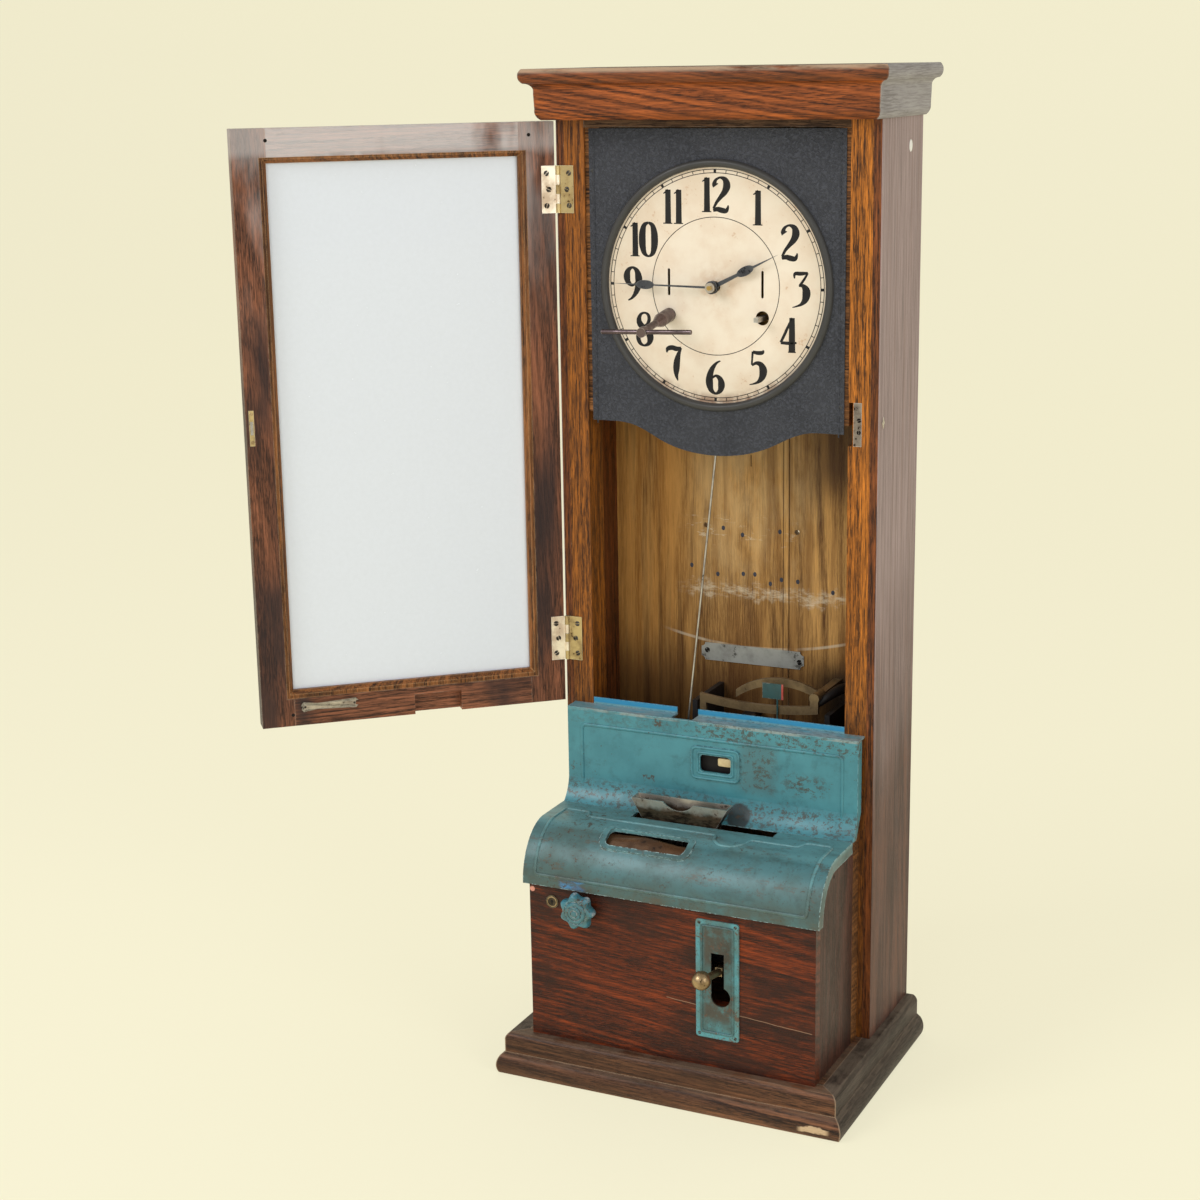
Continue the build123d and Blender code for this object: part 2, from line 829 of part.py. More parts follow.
winding_z = dial_z - winding_drop
with BuildPart() as dial:
    with BuildSketch(facing(0, plate_back + dial_sheet, dial_z)):
        Circle(dial_radius)
        Circle(pipe_hole, mode=Mode.SUBTRACT)
        with Locations((winding_x, -winding_drop), (-winding_x, -winding_drop)):
            Circle(winding_hole, mode=Mode.SUBTRACT)
        with Locations((winding_x, slot_rise), (-winding_x, slot_rise)):
            SlotOverall(slot_length, slot_width, rotation=quarter_turn, mode=Mode.SUBTRACT)
    extrude(amount=dial_sheet)
finish(dial, "dial")

# Movement: two brass frames on four pillars, two winding arbors, the going train and the motion work.


def tooth_outline(teeth, module, phase):
    """Corner points of a toothed wheel with straight flanks."""
    pitch = 2 * pi / teeth
    root = module * (teeth / 2 - dedendum_share)
    tip = module * (teeth / 2 + addendum_share)
    points = []
    for tooth in range(teeth):
        middle = radians(phase) + tooth * pitch
        for radius, share in ((root, -tooth_root_share), (tip, -tooth_tip_share),
                              (tip, tooth_tip_share), (root, tooth_root_share)):
            angle = middle + share * pitch
            points.append((radius * cos(angle), radius * sin(angle)))
    return points


def meshed_phase(phase, teeth, bearing, mate_teeth):
    """Phase of the mate that lies in a bearing, so that its gap meets the tooth of this wheel."""
    share = (phase - bearing) * teeth / full_turn
    return bearing + half_turn + (0.5 - share) * full_turn / mate_teeth


def toothed_disc(x, y, z, teeth, module, width, phase):
    """A toothed disc whose back face lies at a depth."""
    with BuildSketch(facing(x, y, z)) as outline:
        with BuildLine():
            Polyline(*tooth_outline(teeth, module, phase), close=True)
        make_face()
    extrude(outline.sketch, amount=width)


winding_distance = hypot(winding_x, winding_drop)
great_module = 2 * winding_distance / (great_teeth + centre_leaves)
right_bearing = degrees(atan2(-winding_drop, winding_x))
left_bearing = degrees(atan2(-winding_drop, -winding_x))
centre_phase = right_bearing
right_phase = meshed_phase(centre_phase, centre_leaves, right_bearing, great_teeth)
left_phase = meshed_phase(centre_phase, centre_leaves, left_bearing, great_teeth)
third_distance = centre_module * (centre_teeth + third_leaves) / 2
third_x = third_distance * cos(radians(third_bearing))
third_z = dial_z + third_distance * sin(radians(third_bearing))
third_pinion_phase = meshed_phase(0, centre_teeth, third_bearing, third_leaves)
escape_distance = third_module * (third_teeth + escape_leaves) / 2
escape_z = third_z + sqrt(escape_distance ** 2 - third_x ** 2)
escape_bearing = degrees(atan2(escape_z - third_z, -third_x))
escape_phase = meshed_phase(0, third_teeth, escape_bearing, escape_leaves)
verge_z = escape_z + verge_rise
minute_x = motion_distance * cos(radians(minute_bearing))
minute_z = dial_z + motion_distance * sin(radians(minute_bearing))
cannon_module = 2 * motion_distance / (cannon_teeth + minute_teeth)
hour_module = 2 * motion_distance / (minute_leaves + hour_teeth)
minute_phase = meshed_phase(0, cannon_teeth, minute_bearing, minute_teeth)
hour_phase = meshed_phase(0, minute_leaves, minute_bearing + half_turn, hour_teeth)

frame_places = ((frame_half_width - pillar_inset, -frame_drop + pillar_inset),
                (pillar_inset - frame_half_width, -frame_drop + pillar_inset),
                (frame_half_width - pillar_inset, frame_rise - pillar_inset),
                (pillar_inset - frame_half_width, frame_rise - pillar_inset))
arbor_places = ((0, 0), (third_x, third_z - dial_z), (0, escape_z - dial_z), (0, verge_z - dial_z))


def movement_frame(back):
    """One brass frame with its pivot holes."""
    with BuildPart() as frame:
        with BuildSketch(facing(0, back, dial_z)):
            with Locations((0, (frame_rise - frame_drop) / 2)):
                RectangleRounded(2 * frame_half_width, frame_rise + frame_drop, frame_corner)
            with Locations(*arbor_places[1:]):
                Circle(pivot_radius + running_gap, mode=Mode.SUBTRACT)
            Circle(arbor_radius + running_gap, mode=Mode.SUBTRACT)
            with Locations((winding_x, -winding_drop), (-winding_x, -winding_drop)):
                Circle(arbor_radius + running_gap, mode=Mode.SUBTRACT)
        extrude(amount=frame_sheet)
    return frame


with BuildPart() as movement_frames:
    add(movement_frame(front_frame_y + frame_sheet).part)
    add(movement_frame(back_frame_y + frame_sheet).part)
    for x, z in frame_places:
        bar_along_y(x, dial_z + z, front_frame_y + frame_sheet, back_frame_y, pillar_radius)
finish(movement_frames, "movement_frames")

frame_back = back_frame_y + frame_sheet
rod_run = Vector(rod_foot_x - rod_top_x, 0, rod_foot_z - rod_top_z)
rod_plane = Plane((rod_top_x, rod_y, rod_top_z), z_dir=rod_run)
with BuildPart() as movement_bracket:
    slab((bracket_x - bracket_width / 2, frame_back, dial_z - bracket_drop),
         (bracket_x + bracket_width / 2, back_front, dial_z + bracket_rise))
    mirror(about=Plane.YZ)
    with Locations(rod_plane.offset(rod_bush_length)):
        Cylinder(rod_bush_radius, rod_bush_length, align=base_up)
        Cylinder(rod_radius + running_gap, rod_bush_length, align=base_up, mode=Mode.SUBTRACT)
    slab((rod_top_x - rod_bush_radius, plate_back, rod_top_z - 2 * rod_bush_length),
         (rod_top_x + rod_bush_radius, rod_y - rod_bush_radius / 2, rod_top_z - rod_bush_length))
finish(movement_bracket, "movement_bracket")


def winding_arbor(x, great_y, phase):
    """A squared winding arbor with its great wheel and spring drum."""
    drum_front = (front_frame_y + back_frame_y + frame_sheet - drum_length) / 2
    with BuildPart() as arbor:
        bar_along_y(x, winding_z, front_frame_y - frame_sheet, frame_back + frame_sheet, arbor_radius)
        toothed_disc(x, great_y + great_width, winding_z, great_teeth, great_module, great_width, phase)
        bar_along_y(x, winding_z, drum_front, drum_front + drum_length, drum_radius)
        bar_along_y(x, winding_z, min(great_y, drum_front),
                    max(great_y + great_width, drum_front + drum_length),
                    pillar_radius)
        slab((x - winding_square / 2, square_front, winding_z - winding_square / 2),
             (x + winding_square / 2, front_frame_y - frame_sheet, winding_z + winding_square / 2))
    return arbor


finish(winding_arbor(-winding_x, left_great_y, left_phase), "winding_arbor_left")
finish(winding_arbor(winding_x, right_great_y, right_phase), "winding_arbor_right")

with BuildPart() as centre_wheel:
    bar_along_y(0, dial_z, front_frame_y - frame_sheet, frame_back + frame_sheet, arbor_radius)
    toothed_disc(0, right_great_y + great_width + fit_gap, dial_z, centre_leaves, great_module,
                 right_great_y + great_width + 2 * fit_gap - left_great_y, centre_phase)
    toothed_disc(0, centre_wheel_y + wheel_width, dial_z, centre_teeth, centre_module, wheel_width, 0)
    bar_along_y(0, dial_z, minute_hand_y - nut_length - cap_radius, front_frame_y, cannon_radius)
finish(centre_wheel, "centre_wheel")

with BuildPart() as third_wheel:
    bar_along_y(third_x, third_z, front_frame_y, frame_back, pivot_radius)
    toothed_disc(third_x, centre_wheel_y + (wheel_width + leaf_width) / 2, third_z, third_leaves,
                 centre_module,
                 leaf_width, third_pinion_phase)
    toothed_disc(third_x, third_wheel_y + wheel_width, third_z, third_teeth, third_module, wheel_width, 0)
finish(third_wheel, "third_wheel")


def escape_outline():
    """Corner points of the escape wheel, with raked pointed teeth."""
    points = []
    for tooth in range(escape_teeth):
        start = 2 * pi * tooth / escape_teeth
        for radius, share in ((escape_radius, 0), (escape_radius - escape_tooth_depth, 2 / 5)):
            angle = start + share * 2 * pi / escape_teeth
            points.append((radius * cos(angle), radius * sin(angle)))
    return points


with BuildPart() as escape_wheel:
    bar_along_y(0, escape_z, front_frame_y, frame_back, pivot_radius)
    toothed_disc(0, third_wheel_y + (wheel_width + leaf_width) / 2, escape_z, escape_leaves, third_module,
                 leaf_width, escape_phase)
    with BuildSketch(facing(0, escape_wheel_y + wheel_width, escape_z)):
        with BuildLine():
            Polyline(*escape_outline(), close=True)
        make_face()
    extrude(amount=wheel_width)
finish(escape_wheel, "escape_wheel")

with BuildPart() as verge:
    bar_along_y(0, verge_z, front_frame_y, frame_back + crutch_width, pivot_radius)
    with BuildSketch(facing(0, escape_wheel_y + wheel_width, verge_z)):
        with BuildLine():
            Polyline((-verge_span, -verge_drop), (-verge_span / 2, arbor_radius),
                     (verge_span / 2, arbor_radius),
                     (verge_span, -verge_drop), (verge_span - arbor_radius, -verge_drop),
                     (verge_span / 2, -arbor_radius), (-verge_span / 2, -arbor_radius),
                     (arbor_radius - verge_span, -verge_drop), close=True)
        make_face()
    extrude(amount=wheel_width)
    slab((-crutch_width / 2, frame_back + fit_gap, verge_z - crutch_length),
         (crutch_width / 2, frame_back + fit_gap + crutch_width, verge_z + pivot_radius))
finish(verge, "verge")

with BuildPart() as cannon_pinion:
    toothed_disc(0, motion_y + motion_width, dial_z, cannon_teeth, cannon_module, motion_width, 0)
    bar_along_y(0, dial_z, minute_hand_y + hand_sheet, motion_y, cannon_radius + hand_sheet / 2)
    bar_along_y(0, dial_z, minute_hand_y - cut_overrun, motion_y + motion_width + cut_overrun,
                cannon_radius,
                mode=Mode.SUBTRACT)
finish(cannon_pinion, "cannon_pinion")

hour_wheel_y = motion_y - 2 * motion_width
with BuildPart() as minute_wheel:
    toothed_disc(minute_x, motion_y + motion_width, minute_z, minute_teeth, cannon_module, motion_width,
                 minute_phase)
    toothed_disc(minute_x, motion_y, minute_z, minute_leaves, hour_module, 2 * motion_width, 0)
    bar_along_y(minute_x, minute_z, motion_y, front_frame_y, pivot_radius)
finish(minute_wheel, "minute_wheel")

with BuildPart() as hour_wheel:
    toothed_disc(0, hour_wheel_y + motion_width, dial_z, hour_teeth, hour_module, motion_width, hour_phase)
    bar_along_y(0, dial_z, hour_hand_y + hand_sheet, hour_wheel_y, hour_pipe_radius)
    bar_along_y(0, dial_z, hour_hand_y - cut_overrun, motion_y,
                cannon_radius + hand_sheet / 2 + running_gap,
                mode=Mode.SUBTRACT)
finish(hour_wheel, "hour_wheel")


def clock_hand(back, bearing, length, stem, bore):
    """A spade hand: a boss, a slim stem, an oval blade and a point."""
    turn = radians(bearing)
    along = Plane((0, back, dial_z), x_dir=(cos(turn), 0, sin(turn)), z_dir=(0, -1, 0))
    with BuildPart() as hand:
        with BuildSketch(along):
            Circle(hand_boss_radius)
            with BuildLine():
                Polyline((0, stem), (length - 3 * blade_half_length, stem / 2), (length, 0),
                         (length - 3 * blade_half_length, -stem / 2), (0, -stem), close=True)
            make_face()
            with Locations((length - 4 * blade_half_length, 0)):
                Ellipse(blade_half_length, blade_half_width)
            Circle(bore, mode=Mode.SUBTRACT)
        extrude(amount=hand_sheet)
    return hand


finish(clock_hand(minute_hand_y + hand_sheet, minute_hand_bearing, minute_hand_length, minute_stem,
                  cannon_radius),
       "minute_hand")
finish(clock_hand(hour_hand_y + hand_sheet, hour_hand_bearing, hour_hand_length, hour_stem,
                  cannon_radius + hand_sheet / 2 + running_gap), "hour_hand")

with BuildPart() as hand_nut:
    bar_along_y(0, dial_z, minute_hand_y - nut_length, minute_hand_y, nut_radius)
    bar_along_y(0, dial_z, minute_hand_y - nut_length - cut_overrun, minute_hand_y + cut_overrun,
                cannon_radius,
                mode=Mode.SUBTRACT)
finish(hand_nut, "hand_nut")

key_foot = Vector(-winding_x, key_back_y, winding_z)
key_plane = Plane(key_foot, z_dir=Vector(key_end_x, key_end_y, key_end_z) - key_foot)
with BuildPart() as winding_key:
    with Locations(key_plane):
        Cylinder(key_barrel_radius, key_barrel_length, align=base_up)
    with Locations(key_plane.offset(key_barrel_length)):
        Cone(key_barrel_radius, key_stem_radius, key_neck_length - key_barrel_length, align=base_up)
    with Locations(key_plane.offset(key_neck_length)):
        Cylinder(key_stem_radius, key_length - key_neck_length, align=base_up)
    with Locations(key_plane.offset(key_length - key_cap_length)):
        Cylinder(key_cap_radius, key_cap_length, align=base_up)
    with Locations(key_plane):
        Cylinder(key_bore_radius, key_bore_depth, align=base_up, mode=Mode.SUBTRACT)
    with Locations(Location(key_plane.offset(key_length - key_bar_setback).origin
                            + Vector(key_bar_shift, 0, 0), (0, quarter_turn - key_bar_tilt, 0))):
        Cylinder(key_bar_radius, key_bar_length)
finish(winding_key, "winding_key")

# Door: two stiles and two rails rebated for the glass, which four beads hold in.
door_turn = radians(door_open_angle)
door_across = (cos(door_turn), -sin(door_turn), 0)
door_outward = (-sin(door_turn), -cos(door_turn), 0)
door_face = Plane((door_axis_x, door_axis_y, 0), x_dir=door_across, z_dir=door_outward)
door_inner = -door_axis_y
hinge_edge = door_edge
free_edge = door_edge + door_width


def door_block(low, high, mode=Mode.ADD):
    """A block of the door: distance from the hinge axis, height, and depth outwards from the axis."""
    with Locations(door_face.location * Location(low)):
        Box(high[0] - low[0], high[1] - low[1], high[2] - low[2],
            align=(Align.MIN, Align.MIN, Align.MIN), mode=mode)


door_outer = door_inner + door_thickness
rebate_floor = door_inner + rebate_depth
gap_left = hinge_edge + sight_left
gap_right = hinge_edge + sight_right
rebate_left = hinge_edge + bead_left
rebate_right = hinge_edge + bead_right

with BuildPart() as door_stiles:
    door_block((hinge_edge, door_bottom, door_inner), (gap_left, door_top, door_outer))
    door_block((gap_right, door_bottom, door_inner), (free_edge, door_top, door_outer))
    door_block((rebate_left, bead_bottom, door_inner), (rebate_right, bead_top, rebate_floor),
               mode=Mode.SUBTRACT)
    door_block((hinge_edge + lock_left, lock_bottom, door_inner),
               (hinge_edge + lock_right, lock_top, door_inner + lock_depth), mode=Mode.SUBTRACT)
finish(door_stiles, "door_stiles")

with BuildPart() as door_rails:
    door_block((gap_left, door_bottom, door_inner), (gap_right, sight_bottom, door_outer))
    door_block((gap_left, sight_top, door_inner), (gap_right, door_top, door_outer))
    door_block((gap_left, bead_bottom, door_inner), (gap_right, bead_top, rebate_floor), mode=Mode.SUBTRACT)
    door_block((hinge_edge + rail_notch_left, door_bottom - cut_overrun, door_inner - cut_overrun),
               (hinge_edge + rail_notch_right, rail_notch_top,
                door_inner + rail_notch_depth), mode=Mode.SUBTRACT)
finish(door_rails, "door_rails")

with BuildPart() as glass_pane:
    door_block((rebate_left, bead_bottom, rebate_floor - glass_sheet),
               (rebate_right, bead_top, rebate_floor))
finish(glass_pane, "glass_pane")

bead_front = rebate_floor - glass_sheet
with BuildPart() as glass_beads:
    door_block((rebate_left, bead_bottom, door_inner + bead_setback), (rebate_right, bead_top, bead_front))
    door_block((gap_left, sight_bottom, door_inner), (gap_right, sight_top, bead_front + cut_overrun),
               mode=Mode.SUBTRACT)
    chamfer(glass_beads.faces().sort_by(Axis(door_face.origin, door_outward))[0].inner_wires().edges(),
            (sight_left - bead_left) / 2)
finish(glass_beads, "glass_beads")

lock_middle = (lock_bottom + lock_top) / 2
bolt_left = hinge_edge + (lock_left + lock_right - bolt_thickness) / 2
with BuildPart() as door_lock:
    door_block((hinge_edge + lock_left, lock_bottom, door_inner),
               (hinge_edge + lock_right, lock_top, door_inner + lock_depth))
    door_block((bolt_left - fit_gap, lock_middle - bolt_height / 2 - fit_gap, door_inner),
               (bolt_left + bolt_thickness + fit_gap, lock_middle + bolt_height / 2 + fit_gap,
                door_inner + lock_depth - leaf_sheet), mode=Mode.SUBTRACT)
finish(door_lock, "door_lock")

with BuildPart() as door_bolt:
    door_block((bolt_left, lock_middle - bolt_height / 2, door_inner),
               (bolt_left + bolt_thickness, lock_middle + bolt_height / 2,
                door_inner + lock_depth - leaf_sheet - fit_gap))
finish(door_bolt, "door_bolt")

# Butt hinges: five knuckles each, three on the case leaf and two on the door leaf.
knuckle_length = hinge_height / knuckle_count


def knuckles(indices):
    """The knuckles of one leaf at both hinges, bored for the pin."""
    for bottom in hinge_bottoms:
        for index in indices:
            low = bottom + index * knuckle_length + fit_gap / 2
            bar_along_z(door_axis_x, door_axis_y, low, low + knuckle_length - fit_gap, knuckle_radius)


def knuckle_clearance(indices):
    """Room beside a leaf for the knuckles of the other leaf, and the bore of the pin."""
    for bottom in hinge_bottoms:
        for index in indices:
            low = bottom + index * knuckle_length - fit_gap / 2
            bar_along_z(door_axis_x, door_axis_y, low, low + knuckle_length + fit_gap,
                        knuckle_radius + fit_gap, mode=Mode.SUBTRACT)
        bar_along_z(door_axis_x, door_axis_y, bottom - cut_overrun, bottom + hinge_height + cut_overrun,
                    hinge_pin_radius + running_gap, mode=Mode.SUBTRACT)


leaf_gap = -door_axis_y - leaf_sheet
with BuildPart() as hinge_case_leaves:
    for bottom in hinge_bottoms:
        slab((door_axis_x, -leaf_sheet, bottom), (door_axis_x + leaf_reach, 0, bottom + hinge_height))
    knuckles((0, 2, 4))
    knuckle_clearance((1, 3))
    for bottom in hinge_bottoms:
        bar_along_z(door_axis_x, door_axis_y, bottom, bottom + hinge_height, hinge_pin_radius)
finish(hinge_case_leaves, "hinge_case_leaves")

with BuildPart() as hinge_door_leaves:
    for bottom in hinge_bottoms:
        door_block((0, bottom, leaf_gap), (leaf_reach, bottom + hinge_height, door_inner))
    knuckles((1, 3))
    knuckle_clearance((0, 2, 4))
finish(hinge_door_leaves, "hinge_door_leaves")

# Recorder: side frames, card receiver on its carriage and rail, selector gears, punch lever and hammer.
knob_pitch = gear_module * knob_teeth / 2
idler_pitch = gear_module * idler_teeth / 2
idler_x = knob_x + sqrt((knob_pitch + idler_pitch) ** 2 - (knob_z - idler_z) ** 2)
idler_bearing = degrees(atan2(idler_z - knob_z, idler_x - knob_x))
idler_phase = meshed_phase(0, knob_teeth, idler_bearing, idler_teeth)

with BuildPart() as recorder_frame:
    with BuildSketch(Plane.YZ.offset(box_inner - cheek_sheet)):
        with Locations(((cheek_front + cheek_rear) / 2, (plinth_height + cheek_top) / 2)):
            Rectangle(cheek_rear - cheek_front, cheek_top - plinth_height)
    extrude(amount=cheek_sheet)
    slab((box_inner - cheek_sheet, print_y - cheek_window_margin, cheek_top),
         (box_inner, cheek_rear, hood_top - hood_strip))
    mirror(about=Plane.YZ)
    for y, z, radius in ((rail_y, rail_z, rail_radius), (lever_y, lever_z, punch_shaft_radius),
                         (hammer_y, hammer_z, print_shaft_radius), (print_y, print_z, print_shaft_radius)):
        bar_along_x(y, z, -case_half_width, case_half_width, radius + running_gap, mode=Mode.SUBTRACT)
    for y, z, radius in ((rail_y, rail_z, rail_radius), (lever_y, lever_z, punch_shaft_radius),
                         (hammer_y, hammer_z, print_shaft_radius)):
        bar_along_x(y, z, -box_inner, box_inner, radius)
    bar_along_y(idler_x, idler_z, box_front + box_wall, gear_rear, spindle_radius)
    bar_along_y(idler_x, idler_z, gear_front - fit_gap - collar_width, gear_front - fit_gap,
                spindle_radius + arbor_radius)
finish(recorder_frame, "recorder_frame")


def receiver_shell(inset):
    """The funnel of the card receiver, drawn in from its outer face."""
    with BuildPart() as shell:
        with BuildSketch(Plane.XY.offset(hood_top)):
            with Locations(((receiver_left + receiver_right) / 2, (receiver_front + receiver_rear) / 2)):
                Rectangle(receiver_right - receiver_left - 2 * inset,
                          receiver_rear - receiver_front - 2 * inset)
        with BuildSketch(Plane.XY.offset(lip_z)):
            with Locations(((lip_left + lip_right) / 2, (lip_front + receiver_rear) / 2)):
                Rectangle(lip_right - lip_left - 2 * inset, receiver_rear - lip_front - 2 * inset)
        loft()
    return shell


thumb_radius = ((thumb_width / 2) ** 2 + thumb_depth ** 2) / (2 * thumb_depth)
with BuildPart() as card_receiver:
    add(receiver_shell(0).part)
    slab((receiver_left, receiver_front, receiver_throat), (receiver_right, receiver_rear, hood_top))
    add(receiver_shell(receiver_sheet).part, mode=Mode.SUBTRACT)
    slab((receiver_left + receiver_sheet, receiver_front + receiver_sheet, receiver_throat),
         (receiver_right - receiver_sheet, receiver_rear - receiver_sheet, hood_top), mode=Mode.SUBTRACT)
    bar_along_y(thumb_x, lip_z - thumb_depth + thumb_radius, lip_front - cut_overrun,
                receiver_front + receiver_sheet, thumb_radius, mode=Mode.SUBTRACT)
    for left in (receiver_left, receiver_right - arm_width):
        slab((left, receiver_front, carriage_top), (left + arm_width, receiver_front + arm_width,
                                                    receiver_throat))
finish(card_receiver, "card_receiver")

rack_pitch_z = idler_z - idler_pitch
tooth_pitch = pi * gear_module
rack_shift = radians(idler_phase - half_turn - quarter_turn) * idler_pitch + tooth_pitch / 2
rack_root_z = rack_pitch_z - dedendum_share * gear_module
rack_tip_z = rack_pitch_z + addendum_share * gear_module
rack_start = idler_x + rack_shift
first_tooth = round((rack_left + tooth_pitch - rack_start) / tooth_pitch)
last_tooth = round((rack_right - tooth_pitch - rack_start) / tooth_pitch)

with BuildPart() as receiver_carriage:
    slab((receiver_left, carriage_front, carriage_bottom), (receiver_right, carriage_rear, carriage_top))
    bar_along_x(rail_y, rail_z, receiver_left - cut_overrun, receiver_right + cut_overrun,
                rail_radius + running_gap, mode=Mode.SUBTRACT)
    slab((receiver_left, carriage_front, rack_root_z - rack_body),
         (rack_foot_right, carriage_rear, carriage_bottom))
    slab((receiver_left, gear_front, rack_root_z - rack_body),
         (rack_foot_right, carriage_front, rack_root_z))
    with BuildSketch(facing(0, gear_rear, 0)):
        with BuildLine():
            Polyline((rack_left, rack_root_z), (rack_left, rack_root_z - rack_body),
                     (rack_right, rack_root_z - rack_body), (rack_right, rack_root_z), close=True)
        make_face()
        for tooth in range(first_tooth, last_tooth + 1):
            middle = rack_start + tooth * tooth_pitch
            root = tooth_root_share * tooth_pitch
            tip = tooth_tip_share * tooth_pitch
            with BuildLine():
                Polyline((middle - root, rack_root_z), (middle + root, rack_root_z),
                         (middle + tip, rack_tip_z), (middle - tip, rack_tip_z), close=True)
            make_face()
    extrude(amount=gear_rear - gear_front)
finish(receiver_carriage, "receiver_carriage")

gear_width = gear_rear - gear_front
with BuildPart() as selector_spindle:
    bar_along_y(knob_x, knob_z, knob_mid_y, gear_rear, spindle_radius)
    toothed_disc(knob_x, gear_rear, knob_z, knob_teeth, gear_module, gear_width, 0)
finish(selector_spindle, "selector_spindle")

with BuildPart() as selector_idler:
    toothed_disc(idler_x, gear_rear, idler_z, idler_teeth, gear_module, gear_width, idler_phase)
    bar_along_y(idler_x, idler_z, gear_front - cut_overrun, gear_rear + cut_overrun,
                spindle_radius + running_gap,
                mode=Mode.SUBTRACT)
finish(selector_idler, "selector_idler")

with BuildPart() as star_knob:
    with BuildSketch(facing(knob_x, knob_mid_y + knob_thickness / 2, knob_z)):
        Circle(knob_core_radius)
        with PolarLocations(knob_lobe_circle, knob_lobes):
            Circle(knob_lobe_radius)
    extrude(amount=knob_thickness)
    fillet(star_knob.faces().sort_by(Axis.Y)[0].edges(), knob_thickness / 5)
    bar_along_y(knob_x, knob_z, knob_boss_front, knob_mid_y, knob_boss_radius)
    bar_along_y(knob_x, knob_z, knob_mid_y, box_front - fit_gap, knob_boss_radius)
    bar_along_y(knob_x, knob_z, knob_mid_y, box_front + cut_overrun, spindle_radius, mode=Mode.SUBTRACT)
finish(star_knob, "star_knob")

lever_reach = Vector(0, ball_y - lever_y, ball_z - lever_z)
lever_plane = Plane((lever_x, lever_y, lever_z), x_dir=(1, 0, 0), z_dir=lever_reach)
with BuildPart() as punch_lever:
    bar_along_x(lever_y, lever_z, lever_x - lever_width, lever_x + lever_width, lever_hub_radius)
    with Locations(lever_plane):
        Box(lever_width, lever_height, lever_y - box_front, align=base_up)
    with Locations(lever_plane):
        Cylinder(ball_neck_radius, lever_reach.length, align=base_up)
    bar_along_x(lever_y, lever_z, lever_x - 2 * lever_width, lever_x + 2 * lever_width,
                punch_shaft_radius + running_gap, mode=Mode.SUBTRACT)
finish(punch_lever, "punch_lever")

with BuildPart() as lever_ball:
    with Locations((lever_x, ball_y, ball_z)):
        Sphere(ball_radius)
    with Locations(lever_plane):
        Cylinder(ball_neck_radius, lever_reach.length, align=base_up, mode=Mode.SUBTRACT)
finish(lever_ball, "lever_ball")

with BuildPart() as hammer:
    bar_along_x(hammer_y, hammer_z, hammer_x - hammer_width / 2, hammer_x + hammer_width / 2,
                hammer_hub_radius)
    slab((hammer_x - hammer_arm, hammer_head_front, hammer_z),
         (hammer_x + hammer_arm, hammer_head_front + hammer_arm, hammer_head_z))
    slab((hammer_x - hammer_width / 2, hammer_head_front, hammer_head_z - hammer_head_height / 2),
         (hammer_x + hammer_width / 2, hammer_head_rear, hammer_head_z + hammer_head_height / 2))
    bar_along_x(hammer_y, hammer_z, hammer_x - hammer_width, hammer_x + hammer_width,
                print_shaft_radius + running_gap, mode=Mode.SUBTRACT)
finish(hammer, "hammer")

with BuildPart() as print_wheels:
    bar_along_x(print_y, print_z, -box_inner, box_inner, print_shaft_radius)
    for index in range(print_wheel_count):
        middle = print_x + (index - (print_wheel_count - 1) / 2) * print_wheel_pitch
        bar_along_x(print_y, print_z, middle - print_wheel_width / 2, middle + print_wheel_width / 2,
                    print_wheel_radius)
finish(print_wheels, "print_wheels")

# Slot plate and lock on the box front
slot_middle = ((slot_plate_left + slot_plate_right) / 2, (slot_plate_bottom + slot_plate_top) / 2)
with BuildPart() as slot_plate:
    with BuildSketch(facing(slot_middle[0], box_front, slot_middle[1])):
        RectangleRounded(slot_plate_right - slot_plate_left, slot_plate_top - slot_plate_bottom,
                         slot_plate_corner)
        with Locations(((lever_slot_left + lever_slot_right) / 2 - slot_middle[0],
                        (lever_slot_bottom + lever_slot_top) / 2 - slot_middle[1])):
            Rectangle(lever_slot_right - lever_slot_left, lever_slot_top - lever_slot_bottom,
                      mode=Mode.SUBTRACT)
        with Locations((lever_hole_x - slot_middle[0], lever_hole_z - slot_middle[1])):
            Circle(lever_hole_radius, mode=Mode.SUBTRACT)
    extrude(amount=slot_plate_sheet)
finish(slot_plate, "slot_plate")

with BuildPart() as hood_lock:
    bar_along_y(lock_x, lock_z, box_front, box_front + box_wall + cam_sheet, lock_radius)
    bar_along_y(lock_x, lock_z, box_front - lock_collar_sheet, box_front, lock_collar_radius)
    slab((lock_x - cam_width / 2, box_front + box_wall, lock_z - cam_length),
         (lock_x + cam_width / 2, box_front + box_wall + cam_sheet, lock_z))
finish(hood_lock, "hood_lock")

# Drive rod from the movement down through the ledge, in two bushes, and the arm that it lifts
with BuildPart() as drive_rod:
    with Locations(rod_plane):
        Cylinder(rod_radius, rod_run.length, align=base_up)
finish(drive_rod, "drive_rod")

feed_x = rod_foot_x + feed_arm_length
feed_z = rod_foot_z - fit_gap - feed_arm_height / 2
with BuildPart() as feed_arm:
    with BuildSketch(facing(rod_foot_x, rod_y + feed_arm_width / 2, feed_z)):
        with Locations((feed_arm_length / 2, 0)):
            Rectangle(feed_arm_length, feed_arm_height)
        Circle(feed_arm_height / 2)
        with Locations((feed_arm_length, 0)):
            Circle(feed_hub_radius)
            Circle(print_shaft_radius + running_gap, mode=Mode.SUBTRACT)
    extrude(amount=feed_arm_width)
finish(feed_arm, "feed_arm")

